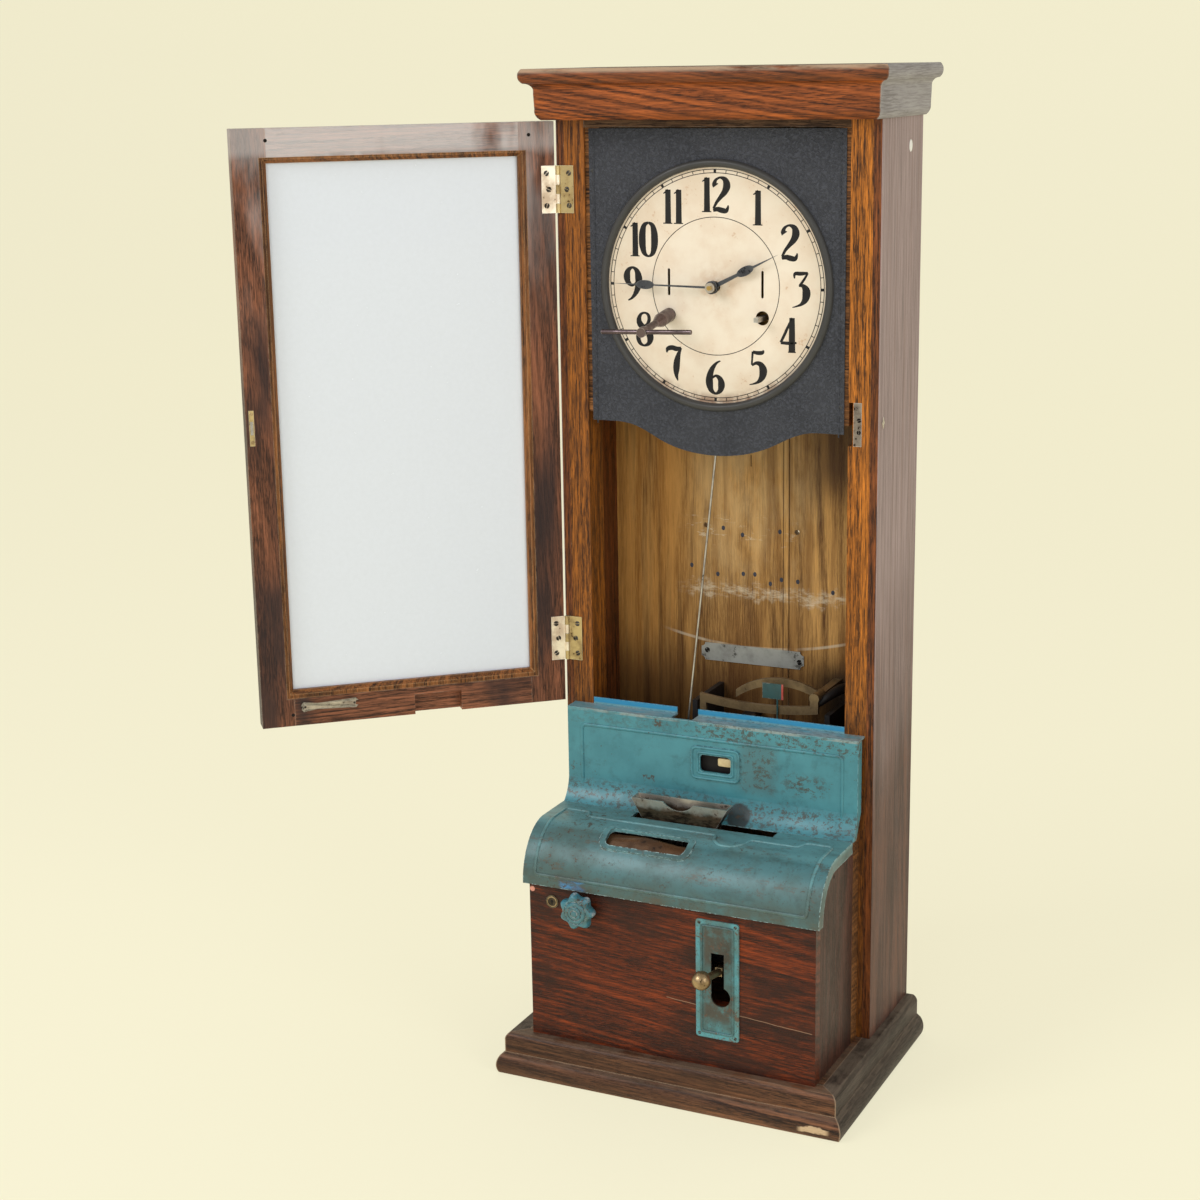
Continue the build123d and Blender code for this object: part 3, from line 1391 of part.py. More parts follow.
# Pieces seen above the apron: a bracket on the back board, wheels on their shaft, bar, arm and tag
with BuildPart() as rear_bracket:
    for left in (rear_bracket_left, rear_bracket_right):
        slab((left, rear_bracket_front, rear_bracket_bottom),
             (left + bracket_sheet, back_front, bar_z - bar_height / 2))
    bar_along_x(rear_shaft_y, rear_shaft_z, rear_bracket_left - cut_overrun,
                rear_bracket_right + bracket_sheet + cut_overrun, rear_shaft_radius + running_gap,
                mode=Mode.SUBTRACT)
    slab((feed_x - feed_hub_radius, rod_y + feed_arm_width, rear_shaft_z + rear_shaft_radius + feed_gap),
         (feed_x + feed_hub_radius, back_front, rod_foot_z + feed_arm_height))
    bar_along_y(feed_x, feed_z, rod_y - feed_arm_width / 2, rod_y + feed_arm_width, print_shaft_radius)
finish(rear_bracket, "rear_bracket")

with BuildPart() as rear_wheels:
    bar_along_x(rear_shaft_y, rear_shaft_z, rear_bracket_left, rear_bracket_right + bracket_sheet,
                rear_shaft_radius)
    for place, radius in ((left_wheel_x, left_wheel_radius), (middle_wheel_x, middle_wheel_radius),
                          (right_wheel_x, right_wheel_radius)):
        bar_along_x(rear_shaft_y, rear_shaft_z, place, place + rear_wheel_width, radius)
finish(rear_wheels, "rear_wheels")

with BuildPart() as linkage_arms:
    with BuildSketch(facing(0, bar_y, 0)):
        with BuildLine():
            Line((bar_left, bar_z - bar_height / 2), (bar_left, bar_z + bar_height / 2))
            ThreePointArc((bar_left, bar_z + bar_height / 2),
                          ((bar_left + bar_right) / 2, bar_z + bar_height / 2 - bar_sag),
                          (bar_right, bar_z + bar_height / 2))
            Line((bar_right, bar_z + bar_height / 2), (bar_right, bar_z - bar_height / 2))
            ThreePointArc((bar_right, bar_z - bar_height / 2),
                          ((bar_left + bar_right) / 2, bar_z - bar_height / 2 - bar_sag),
                          (bar_left, bar_z - bar_height / 2))
        make_face()
    extrude(amount=bar_sheet)
    with BuildSketch(facing(0, curve_y, 0)):
        with BuildLine():
            ThreePointArc((curve_left, curve_foot_z), (curve_middle_x, curve_top_z),
                          (curve_right, curve_end_z))
            Line((curve_right, curve_end_z), (curve_right, curve_end_z - bar_height))
            ThreePointArc((curve_right, curve_end_z - bar_height),
                          (curve_middle_x, curve_top_z - bar_height),
                          (curve_left, curve_foot_z - bar_height))
            Line((curve_left, curve_foot_z - bar_height), (curve_left, curve_foot_z))
        make_face()
    extrude(amount=bar_sheet)
    pivot_z = curve_end_z - bar_height / 2
    bar_along_y(curve_right, pivot_z, bar_y - bar_sheet, curve_y + bar_sheet, lever_arm_radius)
    slab((curve_right - bar_height / 2, curve_y, pivot_z - bar_sheet / 2),
         (curve_right + bar_height / 2, back_front, pivot_z + bar_sheet / 2))
    slab((curve_right - bar_height / 2, bar_y - bar_sheet, bar_z - bar_height / 2),
         (curve_right + bar_height / 2, bar_y, pivot_z))
    slab((bar_left, bar_y - bar_sheet, leg_foot_z), (bar_left + leg_width, bar_y, bar_z))
finish(linkage_arms, "linkage_arms")

with BuildPart() as indicator_tag:
    slab((tag_left, tag_y, tag_bottom), (tag_right, tag_y + tag_sheet, tag_top))
    bar_along_z(tag_stem_x, tag_y + tag_sheet / 2, tag_foot_z, tag_bottom, tag_stem_radius)
finish(indicator_tag, "indicator_tag")
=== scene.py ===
"""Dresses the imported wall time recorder: old oak, crinkled black paint, chipped teal enamel, paper dial."""
import math
from functools import partial

import bpy
import numpy as np
from mathutils import Matrix, Vector


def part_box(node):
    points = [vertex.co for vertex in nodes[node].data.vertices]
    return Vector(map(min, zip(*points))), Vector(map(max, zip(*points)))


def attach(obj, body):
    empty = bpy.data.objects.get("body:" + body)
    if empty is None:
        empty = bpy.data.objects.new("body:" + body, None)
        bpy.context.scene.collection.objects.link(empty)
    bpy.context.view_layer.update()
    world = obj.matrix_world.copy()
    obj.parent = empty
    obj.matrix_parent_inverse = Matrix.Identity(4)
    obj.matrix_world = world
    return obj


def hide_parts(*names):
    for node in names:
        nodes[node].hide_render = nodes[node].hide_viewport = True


bl_info = {
    "name": "Wall time recorder",
    "version": (1, 0, 0),
    "blender": (4, 5, 0),
    "location": "View3D > Sidebar > Time recorder",
    "description": "Finishes and small fittings of an oak wall time recorder",
    "category": "Object",
}

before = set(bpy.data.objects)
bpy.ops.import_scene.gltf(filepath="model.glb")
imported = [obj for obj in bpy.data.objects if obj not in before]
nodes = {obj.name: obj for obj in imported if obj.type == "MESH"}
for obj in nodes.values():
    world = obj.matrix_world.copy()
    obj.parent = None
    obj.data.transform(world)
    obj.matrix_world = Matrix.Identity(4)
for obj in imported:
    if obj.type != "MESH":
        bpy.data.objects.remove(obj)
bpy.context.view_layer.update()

FRONT = np.array((0.0, -1.0, 0.0))
RIGHT = np.array((1.0, 0.0, 0.0))
UP = np.array((0.0, 0.0, 1.0))


def linear(paint):
    """A colour as linear light: printed ones have channels up to 255, those of the sidebar are linear already."""
    if max(paint) <= 1.0:
        return tuple(paint)
    parts = np.array(tuple(paint)) / 255.0
    return tuple(np.where(parts <= 0.04045, parts / 12.92, ((parts + 0.055) / 1.055) ** 2.4).tolist())


def dimmed(paint, share):
    """A colour with each channel's light multiplied by a share, and held under 1."""
    return tuple(min(1.0, channel * share) for channel in linear(paint))


def colour(name, description, *printed):
    """A colour that a user can change in the sidebar."""
    return bpy.props.FloatVectorProperty(name=name, description=description, size=3, subtype="COLOR",
                                         min=0.0, max=1.0, default=linear(printed))


def length(name, description, value):
    """A length in metres that a user can change in the sidebar."""
    return bpy.props.FloatProperty(name=name, description=description, subtype="DISTANCE", unit="LENGTH",
                                   precision=5, default=value)


def number(name, description, value):
    """A plain number that a user can change in the sidebar."""
    return bpy.props.FloatProperty(name=name, description=description, default=value)


class WoodFinish(bpy.types.PropertyGroup):
    """Colours of the stained oak."""
    vein: colour("Vein", "Darkest stripe of the grain", 30, 15, 9)
    stile: colour("Stile", "Front stiles, glowing orange", 178, 106, 34)
    crown: colour("Crown", "Front moulding", 160, 84, 36)
    box: colour("Box", "Lower box", 106, 42, 13)
    door: colour("Door", "Open door", 136, 84, 58)
    bead: colour("Bead", "Glazing beads", 134, 84, 44)
    faded: colour("Faded", "Side that the sun has bleached", 172, 150, 149)
    worn: colour("Worn", "Grey of worn varnish", 150, 136, 124)
    plinth: colour("Plinth", "Foot moulding", 108, 70, 46)
    back: colour("Back", "Bare boards of the back", 196, 148, 84)
    ring_width: length("Ring width", "Distance from one year ring to the next", 0.0052)


class EnamelFinish(bpy.types.PropertyGroup):
    """Colours of the painted iron."""
    teal: colour("Teal", "Upper cover", 66, 138, 150)
    dull: colour("Dull teal", "Rubbed and dirty enamel of the hood", 70, 100, 98)
    bright: colour("Bright blue", "Touched-up edges", 44, 142, 186)
    rust: colour("Rust", "Spots where the enamel has gone", 70, 56, 42)
    black: colour("Black", "Crinkled paint of the dial plate", 55, 57, 64)
    iron: colour("Bare iron", "Edges rubbed bare", 176, 168, 158)


class DialPrint(bpy.types.PropertyGroup):
    """Sizes and colours of the printed dial."""
    paper: colour("Paper", "Aged paper", 238, 225, 206)
    stain: colour("Stain", "Brown stains in the paper", 196, 150, 104)
    ink: colour("Ink", "Printed numbers and lines", 26, 24, 24)
    number_height: length("Number height", "Height of a printed number", 0.032)
    weight: number("Weight", "How bold the numbers are", 1.42)
    stretch: number("Stretch", "How wide the numbers are drawn", 1.12)
    number_circle: length("Number circle", "Radius on which the numbers stand", 0.0836)
    inner_circle: length("Inner circle", "Radius of the thin inner circle", 0.0632)
    track_inner: length("Track inside", "Inner radius of the minute track", 0.103)
    track_outer: length("Track outside", "Outer radius of the minute track", 0.1062)
    line_half_width: length("Line half width", "Half the width of a printed line", 0.00036)
    dot_half_width: length("Dot half width", "Half the width of a five-minute dot", 0.0013)
    ink_height: length("Ink height", "Thickness of the ink", 0.00006)


class SheetBeads(bpy.types.PropertyGroup):
    """Pressed lines in the sheet iron."""
    half_width: length("Half width", "Half the width of a pressed line", 0.0017)
    height: length("Height", "How far a pressed line stands out", 0.0012)
    corner: length("Corner", "Length over which a corner is rounded", 0.009)


class Fastenings(bpy.types.PropertyGroup):
    """Screws, pegs and small plates."""
    brass: colour("Brass", "Aged brass", 206, 184, 134)
    steel: colour("Steel", "Bright steel", 196, 192, 186)
    screw_radius: length("Screw radius", "Head of a hinge screw", 0.0026)
    screw_rise: length("Screw rise", "Height of a hinge screw's dome", 0.0006)
    slot_half_width: length("Slot half width", "Half the width of a screw's slot", 0.00035)


class StageSettings(bpy.types.PropertyGroup):
    """Floor, lights and camera."""
    floor: colour("Floor", "Plain pale floor and background", 246, 241, 212)
    lens: number("Lens", "Focal length in millimetres", 65.13)
    floor_share: number("Floor share", "Share of the light that the floor sends back", 0.34)
    glow: number("Glow", "Light that the floor gives off itself", 0.73)
    fill: number("Fill", "Strength of the light from all round", 0.5)
    key: bpy.props.FloatProperty(name="Key", description="Power of the large lamp in watts", subtype="POWER",
                                 default=46.0)


GROUPS = {"recorder_wood": WoodFinish, "recorder_enamel": EnamelFinish, "recorder_dial": DialPrint,
          "recorder_beads": SheetBeads, "recorder_fastenings": Fastenings, "recorder_stage": StageSettings}


def joined(operation):
    """A method that joins a value and another one by a Math node."""
    return lambda value, other: value.wiring.maths(operation, value, other)


class Value:
    """An output in a node tree that can be reckoned with like a number; a | b is the larger of the two."""
    __add__ = joined("ADD")
    __sub__ = joined("SUBTRACT")
    __mul__ = joined("MULTIPLY")
    __truediv__ = joined("DIVIDE")
    __or__ = joined("MAXIMUM")

    def __init__(self, wiring, socket):
        self.wiring, self.socket = wiring, socket

    def __abs__(self):
        return self.wiring.maths("ABSOLUTE", self)

    def fade(self, low, high, start=0.0, end=1.0):
        """A soft step from start to end while the value goes from low to high."""
        values = {0: self, 1: low, 2: high, 3: start, 4: end}
        return self.wiring.value("ShaderNodeMapRange", values, interpolation_type="SMOOTHSTEP")

    def band(self, centre, half_width, softness):
        """1 within half_width of the centre, falling to 0 over softness."""
        return abs(self - centre).fade(half_width, half_width + softness, 1.0, 0.0)


def square_sum(first, second):
    """The squared distance that two values at right angles make."""
    return first * first + second * second


class Wiring:
    """Adds nodes to one node tree and joins them. Its place is the point that the effects are drawn at."""

    def __init__(self, tree):
        self.tree, self.place = tree, None

    def give(self, socket, value):
        value = getattr(value, "socket", value)
        if isinstance(value, bpy.types.NodeSocket):
            self.tree.links.new(value, socket)
        elif socket.type == "RGBA" and len(value) == 3:
            socket.default_value = (*linear(value), 1.0)
        else:
            socket.default_value = value

    def add(self, kind, values=None, **settings):
        node = self.tree.nodes.new(kind)
        for name, value in settings.items():
            setattr(node, name, value)
        for name, value in (values or {}).items():
            self.give(node.inputs[name], value)
        return node

    def value(self, kind, values=None, output=0, **settings):
        return Value(self, self.add(kind, values, **settings).outputs[output])

    def maths(self, operation, *values):
        return self.value("ShaderNodeMath", dict(enumerate(values)), operation=operation)

    def vector(self, operation, values, output=0):
        return self.value("ShaderNodeVectorMath", values, output, operation=operation)

    def root(self, value):
        return self.maths("SQRT", value)

    def mix(self, share, first, second):
        return self.value("ShaderNodeMix", {0: share, 6: first, 7: second}, 2, data_type="RGBA")

    def layers(self, paint, *over):
        """Lays colours over a paint one after the other, each by its own share."""
        for share, second in over:
            paint = self.mix(share, paint, second)
        return paint

    def ramp(self, value, stops):
        node = self.add("ShaderNodeValToRGB", {0: value})
        ramp = node.color_ramp
        while len(ramp.elements) < len(stops):
            ramp.elements.new(1.0)
        for element, (place, paint) in zip(ramp.elements, stops):
            element.position = place
            element.color = (*paint, 1.0)
        return Value(self, node.outputs[0])

    def noise(self, scale, detail=2.0, roughness=0.5, by=None, move=(0.0, 0.0, 0.0), at=None, **more):
        """Noise at the place, or at another vector; by stretches it and move shifts it first."""
        at = self.place if at is None else at
        if by or any(move):
            at = self.stretch(at, by or (1.0, 1.0, 1.0), move=move)
        values = {"Vector": at, "Scale": scale, "Detail": detail, "Roughness": roughness, **more}
        return self.value("ShaderNodeTexNoise", values)

    def stretch(self, vector, scale=(1.0, 1.0, 1.0), turn=(0.0, 0.0, 0.0), move=(0.0, 0.0, 0.0)):
        return self.value("ShaderNodeMapping", {"Vector": vector, "Location": move, "Scale": scale,
                                                "Rotation": [math.radians(angle) for angle in turn]})

    def split(self, vector=None):
        """The three parts of a vector, or of the place."""
        node = self.add("ShaderNodeSeparateXYZ", {0: self.place if vector is None else vector})
        return [Value(self, socket) for socket in node.outputs]

    def normal(self):
        return self.value("ShaderNodeNewGeometry", output="Normal")

    def group(self, name, **values):
        """The outputs of an effect by name; it is drawn at the place unless another Vector is given."""
        node = self.add("ShaderNodeGroup", node_tree=bpy.data.node_groups[name])
        for key, value in {"Vector": self.place, **values}.items():
            self.give(node.inputs[key.replace("_", " ")], value)
        return {socket.name: Value(self, socket) for socket in node.outputs}

    def rubbed(self, radius, breaks, amount):
        return self.group("rubbed edges", Radius=radius, Breaks=breaks, Amount=amount)["Mask"]

    def scratched(self, scale, amount):
        return self.group("scratches", Scale=scale, Amount=amount)["Mask"]


def effect(name, **takes):
    """An empty node group that takes Vector and named numbers: its wiring, and what it takes by name."""
    tree = bpy.data.node_groups.new(name, "ShaderNodeTree")
    tree.interface.new_socket("Vector", in_out="INPUT", socket_type="NodeSocketVector")
    for label, value in takes.items():
        socket = tree.interface.new_socket(label.replace("_", " "), in_out="INPUT", socket_type="NodeSocketFloat")
        socket.default_value = value
    w = Wiring(tree)
    taken = {socket.name: Value(w, socket) for socket in w.add("NodeGroupInput").outputs if socket.name}
    w.place = taken["Vector"]
    return w, taken


def finish_effect(w, **gives):
    """Gives a node group its named outputs."""
    for label in gives:
        w.tree.interface.new_socket(label, in_out="OUTPUT", socket_type="NodeSocketFloat")
    given = w.add("NodeGroupOutput").inputs
    for label, value in gives.items():
        w.give(given[label], value)


def make_grain_effect():
    """Year rings are cones round a pith line: the sine of the distance from it, bent by soft noise."""
    w, taken = effect("oak grain", Ring_Width=0.005, Wander=0.012, Lean=0.05)
    soft = w.stretch(w.place, (1.0, 1.0, 0.22))
    wander = w.value("ShaderNodeTexNoise", {"Vector": soft, "Scale": 11.0, "Detail": 3.0}, "Color")
    moved = w.vector("SUBTRACT", {0: wander, 1: (0.5, 0.5, 0.5)})
    moved = w.vector("SCALE", {0: moved, "Scale": taken["Wander"]})
    x, y, z = w.split(w.vector("ADD", {0: w.place, 1: moved}))
    turns = (w.root(square_sum(x, y)) + z * taken["Lean"]) / taken["Ring Width"]
    uneven = w.noise(1.3, 3.0, 0.62, at=w.value("ShaderNodeCombineXYZ", {0: turns, 2: z * 3.0}))
    slow = w.noise(1.0, 1.0, at=w.value("ShaderNodeCombineXYZ", {0: turns * 0.21}))
    waves = w.maths("SINE", (turns + slow * 5.0) * math.tau) * 0.5 + 0.5
    rings = uneven.fade(0.34, 0.66) * 0.68 + waves * 0.32
    streaks = w.noise(700.0, 5.0, 0.7, (1.0, 1.0, 0.045)).fade(0.34, 0.66)
    fine = w.noise(1250.0, 2.0, 0.55, (1.0, 1.0, 0.085))
    pores = fine.fade(0.51, 0.6) * rings.fade(0.15, 0.75, 0.3, 1.0)
    finish_effect(w, Rings=rings, Streaks=streaks, Pores=pores, Height=streaks * 0.5 - pores)


def make_edge_effect():
    """Edges are where a softened normal leaves the true one; noise breaks the line up."""
    w, taken = effect("rubbed edges", Radius=0.0012, Breaks=120.0, Amount=0.5)
    soft = w.value("ShaderNodeBevel", {"Radius": taken["Radius"]}, samples=4)
    level = w.vector("DOT_PRODUCT", {0: soft, 1: w.normal()}, "Value")
    broken = w.noise(taken["Breaks"], 4.0, 0.7) + taken["Amount"] - 0.5
    finish_effect(w, Mask=level.fade(0.99, 0.86) * broken.fade(0.35, 0.62))


def make_stain_effect():
    """Small sharp noise, raised by large soft noise and cut off at a level, leaves clustered spots."""
    w, taken = effect("stains", Clusters=9.0, Spots=160.0, Amount=0.5)
    soft = w.noise(taken["Clusters"], 4.0, 0.6)
    both = soft * 0.9 + w.noise(taken["Spots"], 4.0, 0.7)
    level = taken["Amount"] * -0.5 + 1.35
    finish_effect(w, Soft=soft.fade(0.38, 0.66), Specks=both.fade(level, level + 0.05))


def make_scratch_effect():
    """Two fields of long thin noise, laid across each other, with only their peaks kept."""
    w, taken = effect("scratches", Scale=500.0, Amount=0.5)
    level = taken["Amount"] * -0.2 + 0.88
    first, second = (w.noise(taken["Scale"], 1.0, 0.4, at=w.stretch(w.place, (1.0, 0.03, 0.03), turn))
                     .fade(level, level + 0.05) for turn in ((15.0, 25.0, 40.0), (-35.0, 12.0, -65.0)))
    finish_effect(w, Mask=(first | second) * w.noise(26.0, 3.0).fade(0.46, 0.62))


def finish_of(name, **settings):
    """A new material whose Principled shader has the given settings: its wiring and the shader's inputs."""
    material = bpy.data.materials.new(name)
    material.use_nodes = True
    tree = material.node_tree
    tree.nodes.clear()
    w = Wiring(tree)
    w.place = w.value("ShaderNodeTexCoord", output="Object")
    shader = w.add("ShaderNodeBsdfPrincipled", {key.replace("_", " "): value for key, value in settings.items()})
    tree.links.new(shader.outputs[0], w.add("ShaderNodeOutputMaterial").inputs["Surface"])
    return w, shader.inputs


def painted(w, shader, paint, roughness, height, depth, strength=0.5):
    """Gives a shader its colour, its roughness and, from a height, its normal."""
    bump = w.value("ShaderNodeBump", {"Height": height, "Distance": depth, "Strength": strength})
    for name, value in (("Base Color", paint), ("Roughness", roughness), ("Normal", bump)):
        w.give(shader[name], value)


# Turns that bring a board's length onto the grain's own length, one after the other.
ALONG = {"up": [], "across": [(0.0, -90.0, 0.0)], "back": [(90.0, 0.0, 0.0)],
         "door": [(0.0, 0.0, 138.2), (0.0, -90.0, 0.0)]}


def oak(wood, name, body, along="up", vein=None, pith=(0.0, 0.0, 0.0), ring_share=1.0, lean=0.03, dark=0.4,
        wander=0.012, rough=0.42, coat=0.08, worn=None, wear=0.45, dirt=0.5, shaped=None, pores=0.8, glow=1.6):
    """Oak whose colour runs from vein to body by the rings and streaks; shaped adds a piece's own marks."""
    w, shader = finish_of(name, Coat_Weight=coat, Coat_Roughness=0.25, Specular_IOR_Level=0.22)
    body, vein = linear(body), linear(vein or wood.vein)
    turned = w.place
    for turn in ALONG[along]:
        turned = w.stretch(turned, turn=turn)
    turned = w.stretch(turned, move=pith)
    grain = w.group("oak grain", Vector=turned, Ring_Width=wood.ring_width * ring_share, Lean=lean, Wander=wander)
    tone = grain["Rings"] * dark + grain["Streaks"] * (1.0 - dark)
    middle = tuple(a * 0.5 + b * 0.5 for a, b in zip(body, vein))
    paint = w.ramp(tone, [(0.12, dimmed(body, glow)), (0.4, body), (0.66, middle), (0.92, vein)])
    patches = w.noise(14.0, 3.0, 0.6, (1.0, 1.0, 0.3), at=turned)
    paint = w.layers(paint, (grain["Pores"] * pores, vein), (patches.fade(0.4, 0.78, 0.0, dirt), dimmed(body, 0.32)))
    roughness = patches.fade(0.3, 0.7, rough - 0.08, rough + 0.12)
    if shaped:
        paint, roughness = shaped(w, paint, roughness)
    if worn:
        paint = w.mix(w.rubbed(0.0016, 60.0, wear) * 0.75, paint, worn)
    painted(w, shader, paint, roughness, grain["Height"], 0.00035, 0.6)


def enamel(iron, name, shaped, body, dull, edge, amount, coat=0.3, rough=0.36, blotch=22.0, edge_reach=0.5,
           edge_share=0.6, rust=None):
    """Enamel dulled by soft stains, speckled with rust, and rubbed along its edges; shaped adds its own marks."""
    w, shader = finish_of(name, Coat_Weight=coat, Coat_Roughness=0.25)
    rust = rust or iron.rust
    large = w.group("stains", Clusters=blotch, Spots=190.0, Amount=amount)
    small = w.group("stains", Vector=w.stretch(w.place, move=(0.31, 0.17, 0.53)), Clusters=46.0, Spots=520.0,
                    Amount=amount)
    grime = w.noise(70.0, 5.0, 0.7).fade(0.48, 0.8, 0.0, 0.55)
    paint = shaped(w, w.layers(body, (large["Soft"], dull), (grime, dimmed(dull, 0.35))))
    spots = large["Specks"] | small["Specks"]
    rubbed = w.rubbed(0.0014, 95.0, edge_reach)
    chipped = w.mix(w.noise(300.0, 3.0).fade(0.44, 0.56), rust, edge)
    paint = w.layers(paint, (spots * 0.85, rust), (rubbed * edge_share, chipped))
    gone = spots | rubbed
    roughness = (gone | large["Soft"]).fade(0.0, 1.0, rough, rough + 0.22)
    painted(w, shader, paint, roughness, w.noise(160.0) * 0.35 - gone, 0.0002)


def metal(name, body, dark, rough, tarnish, edge=None, metallic=1.0, fine=240.0, shaped=None):
    """Metal with soft tarnish, fine scratches and, where given, brighter edges."""
    w, shader = finish_of(name, Metallic=metallic)
    stain = w.group("stains", Clusters=60.0, Spots=fine, Amount=tarnish)
    scratch = w.scratched(900.0, 0.6)
    paint = w.layers(body, (stain["Soft"] * (0.35 + tarnish * 0.5), dark), (stain["Specks"] * 0.8, dimmed(dark, 0.4)),
                     (scratch * 0.35, dimmed(body, 1.35)))
    if shaped:
        paint = shaped(w, paint)
    if edge:
        paint = w.mix(w.rubbed(0.0008, 150.0, 0.6) * 0.8, paint, edge)
    roughness = (stain["Soft"] + stain["Specks"]).fade(0.0, 1.4, rough, rough + 0.3)
    painted(w, shader, paint, roughness, w.noise(fine, 3.0) - scratch, 0.00008)


def black_paint(name, body, iron, rough=0.5, crinkle=False):
    """Black stoved paint; the crinkled kind has a skin of small ridges, their tops painted lighter as highlights."""
    w, shader = finish_of(name, Coat_Weight=0.04, Coat_Roughness=0.4, Specular_IOR_Level=0.3)
    soft = w.group("stains", Clusters=16.0, Spots=300.0, Amount=0.2)["Soft"]
    ridges = w.noise(430.0, 2.0, 0.6, Distortion=0.6)
    paint = w.mix(soft * 0.5, body, dimmed(body, 0.66))
    # Lighter tops of the crinkle's ridges: painted highlights.
    if crinkle:
        paint = w.mix(ridges.fade(0.44, 0.64, 0.0, 0.55), paint, dimmed(body, 1.9))
    paint = w.mix((w.scratched(420.0, 0.45) | w.rubbed(0.001, 130.0, 0.35)) * 0.5, paint, iron)
    height, depth = (ridges, 0.002) if crinkle else (w.noise(240.0, 3.0), 0.00008)
    painted(w, shader, paint, soft.fade(0.0, 1.0, rough, rough + 0.15), height, depth, 1.0)


def paper_dial(dial):
    """Aged paper: darker to the rim, soft stains, a brown bloom near the foot and fine scratches."""
    w, shader = finish_of("dial paper", Coat_Weight=0.15, Coat_Roughness=0.35)
    across, _, up = w.split(w.stretch(w.place, move=(0.0, 0.0, -0.7614)))
    away = w.root(square_sum(across, up))
    stain = w.group("stains", Clusters=26.0, Spots=300.0, Amount=0.42)
    foot = away.fade(0.096, 0.1065) * up.fade(-0.06, -0.1) * w.noise(60.0, 4.0, 0.65).fade(0.36, 0.62)
    rubbed = away.fade(0.01, 0.034, 1.0, 0.0) * w.noise(110.0, 4.0).fade(0.4, 0.7)
    paint = w.layers(dial.paper, (away.fade(0.066, 0.11, 0.0, 0.42), (206, 190, 166)),
                     (stain["Soft"] * 0.22, dial.stain), (stain["Specks"] * 0.5, dial.stain),
                     (foot * 0.8, (120, 74, 40)), (rubbed * 0.35, dial.stain),
                     (w.scratched(600.0, 0.35) * 0.25, (150, 110, 80)))
    painted(w, shader, paint, stain["Soft"].fade(0.0, 1.0, 0.4, 0.55), w.noise(320.0, 3.0), 0.00006, 0.4)


def old_glass():
    """Old pane, misted by fine dust."""
    w, shader = finish_of("old glass", Coat_Weight=0.5, Coat_Roughness=0.06, Transmission_Weight=0.12, IOR=1.45)
    fine = w.noise(260.0, 3.0)
    w.give(shader["Base Color"], w.mix(fine.fade(0.0, 1.0, 0.0, 0.15), (238, 244, 255), (206, 212, 220)))
    w.give(shader["Roughness"], fine.fade(0.0, 1.0, 0.24, 0.28))


def straight_mark(across, up, start, end, half_width, softness):
    """1 on a straight mark from start to end, both (across, up) in metres."""
    size = math.dist(start, end)
    run, rise = (end[0] - start[0]) / size, (end[1] - start[1]) / size
    right, over = across - start[0], up - start[1]
    aside, along = right * rise - over * run, right * run + over * rise
    return aside.band(0.0, half_width, softness) * along.band(size / 2, size / 2, softness)


def faded_side(wood, w, paint, roughness):
    """Marks of the case sides: bleached outer faces, dirtier low down, with dark lines along the grain."""
    x, _, z = w.split()
    outside = abs(x).fade(0.1592, 0.1597)
    lines = w.noise(520.0, 5.0, 0.75, (1.0, 1.0, 0.016)).fade(0.38, 0.66)
    long_lines = w.noise(190.0, 4.0, 0.7, (1.0, 1.0, 0.01)).fade(0.5, 0.66, 0.0, 0.35)
    low = (w.noise(8.0, 3.0) * 0.22 + z).fade(0.66, 0.3)
    runs = w.noise(70.0, 5.0, 0.7, (1.0, 1.0, 0.07), (0.2, 0.5, 0.1)).fade(0.44, 0.62) * z.fade(0.52, 0.22)
    spots = w.group("stains", Clusters=12.0, Spots=150.0, Amount=0.2)["Specks"]
    grey = w.layers(wood.faded, (lines, dimmed(wood.faded, 0.55)), (long_lines, (112, 82, 70)),
                    (low * 0.88, w.mix(0.5, paint, (70, 48, 44))), (runs * 0.6, (44, 28, 26)),
                    (spots * 0.6, (52, 38, 32)))
    return w.mix(outside, paint, grey), w.mix(outside, roughness, (0.56, 0.56, 0.56))


def stile_marks(w, paint, roughness):
    """Marks of the front stiles: the left one browner, and both darker low down."""
    x, _, z = w.split()
    cloud = w.noise(12.0, 3.0, by=(1.0, 1.0, 0.4)) * 0.2 + z
    return w.layers(paint, (x.fade(-0.1, -0.11) * 0.42, (70, 40, 24)),
                    (cloud.fade(0.56, 0.36, 0.0, 0.55), (48, 26, 16))), roughness


